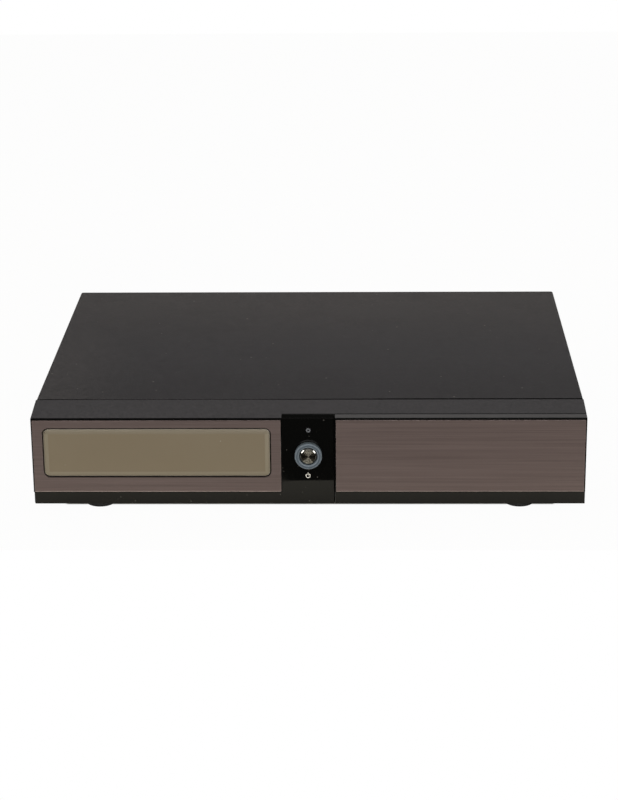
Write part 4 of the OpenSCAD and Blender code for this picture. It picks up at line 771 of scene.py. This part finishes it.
brokenEdge = {  # how far visible nodes' edges are broken, in millimetres
    0.1: "gloss_fascia usb_socket hdmi_socket flap_strike hinge_pins",
    0.12: "status_lens rca_barrels",
    0.15: "rear_panel bottom_chassis ci_cage ethernet_jack rca_rings tuner_1 tuner_2 fan_rotor",
    0.18: "display_plate flap_plate",
    0.2: "display_window foot_pads rca_block f_nuts catch_magnet",
    0.25: "top_cover bay_fascia ci_ejector_lower ci_ejector_upper scart_block mains_inlet "
          "mains_switch fan_frame",
    0.3: "front_frame flap_panel feet switch_rocker",
    0.35: "light_ring",
}
bevelOf = {node: size for size, nodes in brokenEdge.items() for node in nodes.split()}
ringTints = [(166, 34, 30), (206, 204, 196), (206, 168, 34), (166, 34, 30), (36, 66, 142), (40, 108, 58)]
handMade = {"power_button", "rear_screws", "foot_screws", "frame_screws", "board_screws"}
dressed = {}
for node in sorted(frame["nodes"]):
    if node not in handMade:
        dressed[node] = dressNode(node, bevelOf.get(node, 0.0))
tintRings(dressed["rca_rings"])
for node in ("display_plate", "flap_plate"):
    brushedMap(dressed[node])
print("nodes dressed:", len(dressed), "triangles:", sum(len(p.data.loop_triangles) for p in dressed.values()))


# Geometry Nodes helpers
def geoTree(name, inputs):
    return newTree(name, "GeometryNodeTree", {"Geometry": "Geometry", **inputs, "Material": "Material"},
                   {"Geometry": "Geometry"})


def geoNode(tree, kind, inputs=None, **props):
    return addNode(tree, "GeometryNode" + kind, inputs, **props)


def runTree(name, tree, places, values, body, slot, *nodes):
    # the places are points that carry a direction; the result is a plain mesh with no modifier left
    mesh = bpy.data.meshes.new(name)
    mesh.from_pydata([at for at, way in places], [], [])
    facing = mesh.attributes.new("facing", "FLOAT_VECTOR", "POINT")
    for k, (at, way) in enumerate(places):
        facing.data[k].vector = way
    piece = addObject(name, mesh)
    grow = piece.modifiers.new("grow", "NODES")
    grow.node_group = tree
    ids = {s.name: s.identifier for s in tree.interface.items_tree if s.in_out == "INPUT"}
    for key, value in dict(values, Material=finishes[slot]).items():
        grow[ids[key]] = value
    bakeModifiers(piece)
    seat(piece, body, slot, *nodes)


def endTree(tree, i, o, instance):
    # one instance at each place, turned its way
    facing = geoNode(tree, "InputNamedAttribute", {"Name": "facing"}, data_type="FLOAT_VECTOR")
    turn = addNode(tree, "FunctionNodeAlignRotationToVector", {"Vector": facing.outputs[0]}, axis="Z")
    spread = geoNode(tree, "InstanceOnPoints", {"Points": i["Geometry"], "Instance": instance,
                                                "Rotation": turn.outputs[0]})
    real = geoNode(tree, "RealizeInstances", {0: spread.outputs[0]})
    flat = geoNode(tree, "SetShadeSmooth", {"Geometry": real.outputs[0], "Shade Smooth": False})
    painted = geoNode(tree, "SetMaterial", {"Geometry": flat.outputs[0], "Material": i["Material"]})
    wire(tree, painted.outputs[0], o["Geometry"])
    return tree


def shifted(tree, geometry, z):
    place = addNode(tree, "CombineXYZ", {2: z}).outputs[0]
    return geoNode(tree, "Transform", {"Geometry": geometry, "Translation": place}).outputs[0]


# Cross-recess screws: sizes in millimetres, and the head's two steps as shares of its radius and rise
screwSizes = {"Head": 2.8, "Rise": 1.6, "Shank": 1.4, "Slot length": 3.4, "Slot width": 0.75,
              "Slot depth": 1.1}
screwHead = {"skirt": 0.55, "waist": 0.9, "crown": 0.62, "sides": 40, "overlap": 0.001}


def makeScrewTree():
    sizes = {key: size * mm for key, size in screwSizes.items()}
    tree, i, o = geoTree("crossScrews", dict(sizes, Length=7 * mm))
    lower = times(tree, i["Rise"], screwHead["skirt"])
    upper = times(tree, i["Rise"], 1 - screwHead["skirt"])
    waist = times(tree, i["Head"], screwHead["waist"])
    crown = times(tree, i["Head"], screwHead["crown"])
    rings = []
    for wide, narrow, rise in ((i["Head"], waist, lower), (waist, crown, upper)):
        ring = geoNode(tree, "MeshCone", {"Vertices": screwHead["sides"], "Radius Top": narrow,
                                          "Radius Bottom": wide, "Depth": rise}, fill_type="NGON")
        rings.append(ring.outputs[0])
    depth = times(tree, i["Slot depth"], 2.0)
    cut = geoNode(tree, "MeshBoolean", operation="DIFFERENCE", solver="EXACT")
    solid = geoNode(tree, "MeshBoolean", operation="UNION", solver="EXACT")
    stem = geoNode(tree, "MeshCylinder", {"Vertices": 24, "Radius": i["Shank"], "Depth": i["Length"]})
    onSkirt = times(tree, lower, 1 - screwHead["overlap"])
    down = times(tree, i["Length"], screwHead["overlap"] - 0.5)
    for part in (rings[0], shifted(tree, rings[1], onSkirt), shifted(tree, stem.outputs[0], down)):
        wire(tree, part, solid.inputs["Mesh 2"])
    wire(tree, solid.outputs[0], cut.inputs["Mesh 1"])
    for along, across in (("Slot length", "Slot width"), ("Slot width", "Slot length")):
        size = addNode(tree, "CombineXYZ", {0: i[along], 1: i[across], 2: depth}).outputs[0]
        bar = geoNode(tree, "MeshCube", {"Size": size}).outputs[0]
        wire(tree, shifted(tree, bar, i["Rise"]), cut.inputs["Mesh 2"])
    return endTree(tree, i, o, cut.outputs[0])


def screwPlaces(node, outward):
    # one place for each loose solid of the node: its seat is one head's height below the outer end
    bm = joinedMesh(node)
    places, rise = [], screwSizes["Rise"] * mm
    for part in looseParts(bm):
        lo, hi = boxOf(part)
        way = outward if isinstance(outward, Vector) else outward(lo, hi)
        end = (lo + hi) / 2 + Vector(tuple((hi[k] - lo[k]) / 2 * way[k] for k in range(3)))
        places.append((end - way * rise, tuple(way), abs((hi - lo).dot(way)) - rise))
    bm.free()
    return places


def boardWay(lo, hi):
    return Vector((0, 0, 1)) if hi.z - lo.z > hi.y - lo.y else Vector((0, 1, 0))


screwTree = makeScrewTree()
for node, outward in (("rear_screws", Vector((0, 1, 0))), ("foot_screws", Vector((0, 0, -1))),
                      ("frame_screws", Vector((0, 0, -1))), ("board_screws", boardWay)):
    places = screwPlaces(node, outward)
    for k, length in enumerate(sorted({round(reach, 5) for _, _, reach in places})):
        group = [(at, way) for at, way, reach in places if round(reach, 5) == length]
        runTree(f"{node}_cross_{k}", screwTree, group, {"Length": length}, bodyOf[node], slotOf[node], node)
print("screws made")


# Screw thread on the aerial sockets, from where the record puts each socket's barrel
thread = {"pitch": 0.8, "depth": 0.3, "sink": 0.2, "short": 0.5, "steps": 36}


def makeThreadTree():
    tree, i, o = geoTree("aerialThread", {
        "Radius": 4.75 * mm, "Length": 7 * mm, "Pitch": thread["pitch"] * mm, "Depth": thread["depth"] * mm})
    turns = math2(tree, "DIVIDE", i["Length"], i["Pitch"])
    coil = geoNode(tree, "CurveSpiral", {
        "Resolution": thread["steps"], "Rotations": turns, "Start Radius": i["Radius"],
        "End Radius": i["Radius"], "Height": i["Length"]}).outputs[0]
    tooth = geoNode(tree, "CurvePrimitiveCircle", {"Resolution": 4, "Radius": i["Depth"]}).outputs[0]
    swept = geoNode(tree, "CurveToMesh", {"Curve": coil, "Profile Curve": tooth, "Fill Caps": True})
    return endTree(tree, i, o, swept.outputs[0])


threadTree = makeThreadTree()
barrels = [m for m in frame["record"]["mounts"] if m["name"].startswith("aerial_socket")]
for tuner in ("tuner_1", "tuner_2"):
    lo, hi = boxOf(dressed[tuner].data.vertices)
    own = [m for m in barrels if lo.x < m["pos_m"][0] < hi.x]
    radius, length = own[0]["dims"]["r_mm"], own[0]["dims"]["length_mm"]
    start = thread["short"] - length / 2  # a mount's place is the middle of its length
    places = [(Vector(m["pos_m"]) + Vector(m["axis"]) * start * mm, m["axis"]) for m in own]
    sizes = {"Radius": (radius - thread["sink"]) * mm, "Length": (length - 2 * thread["short"]) * mm}
    runTree(tuner + "_threads", threadTree, places, sizes, bodyOf[tuner], slotOf[tuner])
print("threads made")


# Rows of contacts inside the sockets
contacts = {  # node: count, pitch, size of one contact, distance in from the mouth, heights, shift aside
    "scart_block": (10, 2.9, (1.5, 7.0, 0.3), 7.5, (7.75, 10.25, 25.75, 28.25), -2.0),
    "ethernet_jack": (8, 1.02, (0.5, 8.0, 0.5), 6.5, (2.3,), 0.0),
    "hdmi_socket": (10, 1.0, (0.45, 6.0, 0.25), 4.5, (3.85,), 0.0),
    "usb_socket": (4, 2.2, (1.0, 7.0, 0.25), 5.0, (2.25,), 0.0),
}


def makeContactTree():
    tree, i, o = geoTree("contactRow", {"Count": "Int", "Pitch": 1 * mm, "Size": "Vector"})
    span = times(tree, minus(tree, i["Count"], 1.0), i["Pitch"])
    start = addNode(tree, "CombineXYZ", {0: times(tree, span, -0.5)}).outputs[0]
    pitch = addNode(tree, "CombineXYZ", {0: i["Pitch"]}).outputs[0]
    line = geoNode(tree, "MeshLine", {"Count": i["Count"], "Start Location": start, "Offset": pitch})
    bar = geoNode(tree, "MeshCube", {"Size": i["Size"]}).outputs[0]
    row = geoNode(tree, "InstanceOnPoints", {"Points": line.outputs[0], "Instance": bar})
    return endTree(tree, i, o, row.outputs[0])


contactTree = makeContactTree()
for node, (count, pitch, size, inward, heights, aside) in contacts.items():
    lo, hi = boxOf(dressed[node].data.vertices)
    mouth = lo.y + inward * mm if node == "usb_socket" else hi.y - inward * mm
    places = [(Vector(((lo.x + hi.x) / 2 + aside * mm, mouth, lo.z + h * mm)), (0, 0, 1)) for h in heights]
    runTree(node + "_contacts", contactTree, places,
            {"Count": count, "Pitch": pitch * mm, "Size": [s * mm for s in size]}, bodyOf[node], "nut_nickel")
print("contacts made")


# Legends printed on the rear panel, in the plain face that Blender carries
legends = {"size": 2.7, "film": 0.015, "colour": (206, 206, 202)}
legendAt = [  # words, then the node they stand over, and how high
    ("LNB 1", "tuner_1", 3.2), ("LNB 2", "tuner_2", 3.2), ("TV     VCR", "scart_block", 2.0),
    ("AUDIO   VIDEO", "rca_block", 0.8), ("LAN", "ethernet_jack", 2.6), ("DIGITAL AV", "hdmi_socket", 2.6),
    ("AC 100-240 V~  50/60 Hz", "mains_inlet", 2.4), ("POWER", "mains_switch", 2.4),
]


def printInk(name, colour, rough, scale):
    return surface(name, {"colour": colour, "rough": rough,
                          "grain": {"scale": scale, "contrast": 0.3, "drift": 0.2}})


def printLegends():
    panel = boxOf(dressed["rear_panel"].data.vertices)[1].y
    upright = Matrix.Rotation(math.pi, 4, "Z") @ Matrix.Rotation(math.pi / 2, 4, "X")
    bm = bmesh.new()
    for words, node, up in legendAt:
        lo, hi = boxOf(dressed[node].data.vertices)
        font = bpy.data.curves.new("legend", "FONT")
        font.body, font.align_x, font.resolution_u = words, "CENTER", 3
        font.size, font.extrude = legends["size"] * mm, legends["film"] * mm
        text = addObject("legend", font)
        bpy.context.view_layer.update()
        mesh = bpy.data.meshes.new_from_object(text.evaluated_get(bpy.context.evaluated_depsgraph_get()))
        place = Vector(((lo.x + hi.x) / 2, panel, hi.z + up * mm))
        mesh.transform(Matrix.Translation(place) @ upright)
        bm.from_mesh(mesh)
        bpy.data.objects.remove(text)
    piece = addPiece(meshFrom(bm, "rear_legends"), printInk("legendInk", legends["colour"], 0.6, 2400))
    seat(piece, bodyOf["rear_panel"], "white_plastic")


printLegends()
print("legends printed")


# The button's spun cap: rings of faces round its axis, with a map of radius and turn for the turning marks
cap = {"z": 39.3, "radius": 5.25, "edge": 0.8, "tilt": 38, "rim": -3.3, "dish": 0.06, "back": 4.0,
       "turns": 128, "grooves": 26, "slope": 0.46, "heart": 0.02, "chamfer": 6, "corner": 0.1, "hole": 0.09}
capLook = {"face": (98, 95, 85), "rim": (132, 131, 126), "rough": 0.12, "rimRough": 0.1, "touch": 0.03,
           "touchScale": 160.0, "marks": (420.0, 3.0, 1.0), "tone": (0.82, 1.08), "swing": 0.05, "bump": 0.03,
           "bumpDepth": 0.03, "rimSoft": 0.01}
faceRows = 4 * cap["grooves"]  # four rows of faces to each turned groove


def capProfile():
    rimRadius = cap["radius"] - cap["edge"]
    bowl = (rimRadius ** 2 + cap["dish"] ** 2) / (2 * cap["dish"])
    deep = cap["slope"] * (1 - cap["heart"]) * rimRadius / faceRows
    profile = []
    for k in range(faceRows + 1):  # the grooves keep the lit sectors of the face apart
        r = rimRadius * (cap["heart"] + (1 - cap["heart"]) * k / faceRows)
        turned = deep * (0, 1, 0, -1)[k % 4]
        profile.append((r, cap["rim"] + math.sqrt(bowl ** 2 - r ** 2) - bowl + cap["dish"] + turned))
    fall = math.tan(math.radians(cap["tilt"]))
    for k in range(1, cap["chamfer"] + 1):
        out = cap["edge"] * k / cap["chamfer"]
        profile.append((rimRadius + out, cap["rim"] + out * fall))
    corner = cap["corner"]
    return profile + [(cap["radius"], cap["back"] - corner), (cap["radius"] - corner, cap["back"]),
                      (cap["hole"], cap["back"])]


def spunCap():
    bm = bmesh.new()
    turned = bm.loops.layers.uv.new("turned")
    profile, count = capProfile(), cap["turns"]
    angles = [2 * math.pi * k / count for k in range(count)]
    rows = [[bm.verts.new(bench(r * math.cos(a), y, cap["z"] + r * math.sin(a))) for a in angles]
            for r, y in profile]
    for a in range(len(rows) - 1):
        for k in range(count):
            n = (k + 1) % count
            face = bm.faces.new((rows[a][k], rows[a][n], rows[a + 1][n], rows[a + 1][k]))
            for loop, (u, v) in zip(face.loops, ((k, a), (k + 1, a), (k + 1, a + 1), (k, a + 1))):
                loop[turned].uv = (v / len(rows), u / count)
    for ends in (rows[0], list(reversed(rows[-1]))):
        for loop in bm.faces.new(ends).loops:
            loop[turned].uv = (0.0, 0.0)
    bmesh.ops.recalc_face_normals(bm, faces=bm.faces)
    piece = addPiece(meshFrom(bm, "power_button_cap"), capFinish(faceRows / len(rows)))
    smoothMesh(piece, 60)
    seat(piece, "power_button", "button_metal", "power_button")


def capFinish(rimAt):
    mat, tree, shader = newFinish("spunMetal")
    uv = addNode(tree, "UVMap", uv_map="turned").outputs[0]
    marks = noise(tree, stretched(tree, uv, capLook["marks"]), 1.0, 3.0, 0.6)
    coord = addNode(tree, "TexCoord").outputs["Object"]
    touched = addNode(tree, "Group", {"Vector": coord, "Rough": capLook["rough"], "Amount": capLook["touch"],
                                      "Scale": capLook["touchScale"]}, node_tree=effects["smudge"])
    spun = toned(tree, srgb(*capLook["face"]), remap(tree, marks, 0.25, 0.75, *capLook["tone"]))
    soft = capLook["rimSoft"]
    # the chamfer's paler metal is a painted highlight that whitens its glints
    rim = remap(tree, axes(tree, uv)[0], rimAt - soft, rimAt + soft)  # the chamfer is polished and paler
    wire(tree, blendColour(tree, rim, spun, srgb(*capLook["rim"])), shader.inputs["Base Color"])
    scored = remap(tree, marks, 0.3, 0.7, -capLook["swing"], capLook["swing"])
    face = plus(tree, touched.outputs["Rough"], scored)
    rough = addNode(tree, "Mix", {0: rim, 2: face, 3: capLook["rimRough"]}).outputs[0]
    wire(tree, rough, shader.inputs["Roughness"])
    shader.inputs["Metallic"].default_value = 1.0
    bump = addNode(tree, "Bump", {"Strength": capLook["bump"], "Distance": capLook["bumpDepth"] * mm,
                                  "Height": marks})
    wire(tree, bump.outputs[0], shader.inputs["Normal"])
    return mat


spunCap()
print("spun cap made")


# Printed power sign on the gloss centre
sign = {"x": -0.3, "z": 25.4, "y": 0.8, "radius": 1.28, "stroke": 0.4, "gap": 66, "bar": 1.6, "barTop": 1.98,
        "film": 0.02, "steps": 36, "colour": (246, 242, 230)}


def printedSign():
    bm = bmesh.new()
    half, top, steps = sign["stroke"] / 2, sign["barTop"], sign["steps"]
    low = top - sign["bar"]

    def film(points):
        front, rear = ([bm.verts.new(bench(sign["x"] + x, sign["y"] + out, sign["z"] + z)) for x, z in points]
                       for out in (-sign["film"], sign["film"]))
        bm.faces.new(front)
        bm.faces.new(list(reversed(rear)))
        for k in range(len(points)):
            bm.faces.new((front[k], front[k - 1], rear[k - 1], rear[k]))

    def onArc(r, k):
        a = math.radians(90 + sign["gap"] / 2 + (360 - sign["gap"]) * k / steps)
        return (r * math.cos(a), r * math.sin(a))

    film([onArc(sign["radius"] + half, k) for k in range(steps + 1)]
         + [onArc(sign["radius"] - half, k) for k in range(steps, -1, -1)])
    film([(-half, low), (half, low), (half, top), (-half, top)])
    bmesh.ops.recalc_face_normals(bm, faces=bm.faces)
    piece = addPiece(meshFrom(bm, "power_sign"), printInk("signInk", sign["colour"], 0.5, 2600))
    seat(piece, "housing", "white_plastic")


printedSign()
print("power sign made")


# Stage: a pale floor that ends in front of the box, a dark apron before it, and plain soft light
stage = {"width": 3.0, "thick": 0.02, "front": 0.057, "behind": 1.6, "apron": 3.0,
         "floorColour": (200, 196, 183), "apronColour": (24, 24, 24), "inset": 16.5, "soft": 2.0,
         "paper": 0.97}


def slab(name, nearY, farY, finish):
    bm = bmesh.new()
    bmesh.ops.create_cube(bm, size=1)
    for v in bm.verts:
        v.co = Vector((v.co.x * 2 * stage["width"], (nearY + farY) / 2 + v.co.y * (farY - nearY),
                       (v.co.z - 0.5) * stage["thick"]))
    piece = addPiece(meshFrom(bm, name), finish)


def underBox(tree):
    # 1 on the paper that the box covers, which is left to its own shade
    (x0, _, _), (x1, y1, _) = cadBox
    x, y, _ = axes(tree, addNode(tree, "TexCoord").outputs["Object"])
    inset, soft, sides = stage["inset"] * mm, stage["soft"] * mm, []
    for value, lo, hi in ((x, x0 + inset, x1 - inset), (y, bench(0, 0, 0).y + inset, y1 - 2 * inset)):
        rise = remap(tree, value, lo, lo + soft, smooth=True)
        sides.append(times(tree, rise, remap(tree, value, hi - soft, hi, 1.0, 0.0, smooth=True)))
    return times(tree, *sides)


def stageFinish(name, colour, seenWhite):
    # white to the camera where nothing stands on it, and its own colour to everything else
    mat, tree, shader = newFinish(name)
    shader.inputs["Base Color"].default_value = srgb(*colour)
    shader.inputs["Roughness"].default_value = 0.9
    shader.inputs["Specular IOR Level"].default_value = 0.1
    glow = addNode(tree, "Emission", {"Color": (1, 1, 1, 1), "Strength": 1.0}).outputs[0]
    share = times(tree, addNode(tree, "LightPath").outputs["Is Camera Ray"], seenWhite)
    share = times(tree, share, minus(tree, 1.0, underBox(tree)))
    mix = addNode(tree, "MixShader", {0: share, 1: shader.outputs[0], 2: glow})
    wire(tree, mix.outputs[0], tree.nodes["Material Output"].inputs["Surface"])
    return mat


paperEnd = bench(0, 0, 0).y - stage["front"]
slab("floor", paperEnd, stage["behind"], stageFinish("floorPaper", stage["floorColour"], stage["paper"]))
slab("apron", paperEnd - stage["apron"], paperEnd, stageFinish("apronCloth", stage["apronColour"], 1.0))

lamps = {  # name: place, aim, size, power, colour
    "backBox": ((0.0, 0.6, 1.35), (0.0, 0.1, 0.06), (1.6, 0.6), 6.5, (1.0, 0.985, 0.965)),
    "frontBox": ((0.0, -2.3, 0.62), (0.0, -0.1, 0.03), (3.0, 0.6), 31.5, (1.0, 0.99, 0.98)),
    "leftBox": ((-1.12, -0.77, 0.6), (0.0, -0.1, 0.04), (0.36, 0.75), 7.0, (1.0, 0.99, 0.98)),
    "rightBox": ((1.14, -0.75, 0.62), (0.0, -0.1, 0.04), (0.36, 0.75), 7.0, (1.0, 0.985, 0.96)),
    "rearBox": ((0.2, 1.9, 0.2), (0.0, 0.15, 0.04), (1.6, 0.3), 3.2, (1.0, 0.985, 0.97)),
}
studio = {"rise": (0.55, 0.95), "level": (0.04, 0.6)}  # dim walls under a pale ceiling


def hangLamps():
    for name, (at, aim, size, power, colour) in lamps.items():
        data = bpy.data.lights.new(name, "AREA")
        data.shape, data.size, data.size_y = "RECTANGLE", *size
        data.energy, data.color = power, colour
        lamp = addObject(name, data)
        lamp.location = at
        lamp.rotation_euler = (Vector(aim) - Vector(at)).to_track_quat("-Z", "Y").to_euler()


def paintWorld():
    world = bpy.data.worlds.new("studio")
    bpy.context.scene.world = world
    world.use_nodes = True
    tree = world.node_tree
    back = tree.nodes["Background"].inputs
    path = addNode(tree, "LightPath").outputs
    rise = axes(tree, addNode(tree, "TexCoord").outputs["Generated"])[2]
    walls = remap(tree, rise, *studio["rise"], *studio["level"], smooth=True)
    seen = math2(tree, "MAXIMUM", path["Is Camera Ray"], path["Is Transmission Ray"])
    wire(tree, addNode(tree, "Mix", {0: seen, 2: walls, 3: 1.0}).outputs[0], back["Strength"])
    back["Color"].default_value = (1, 1, 1, 1)


hangLamps()
paintWorld()
bpy.context.scene.view_settings.view_transform = "Standard"
print("stage and light set")
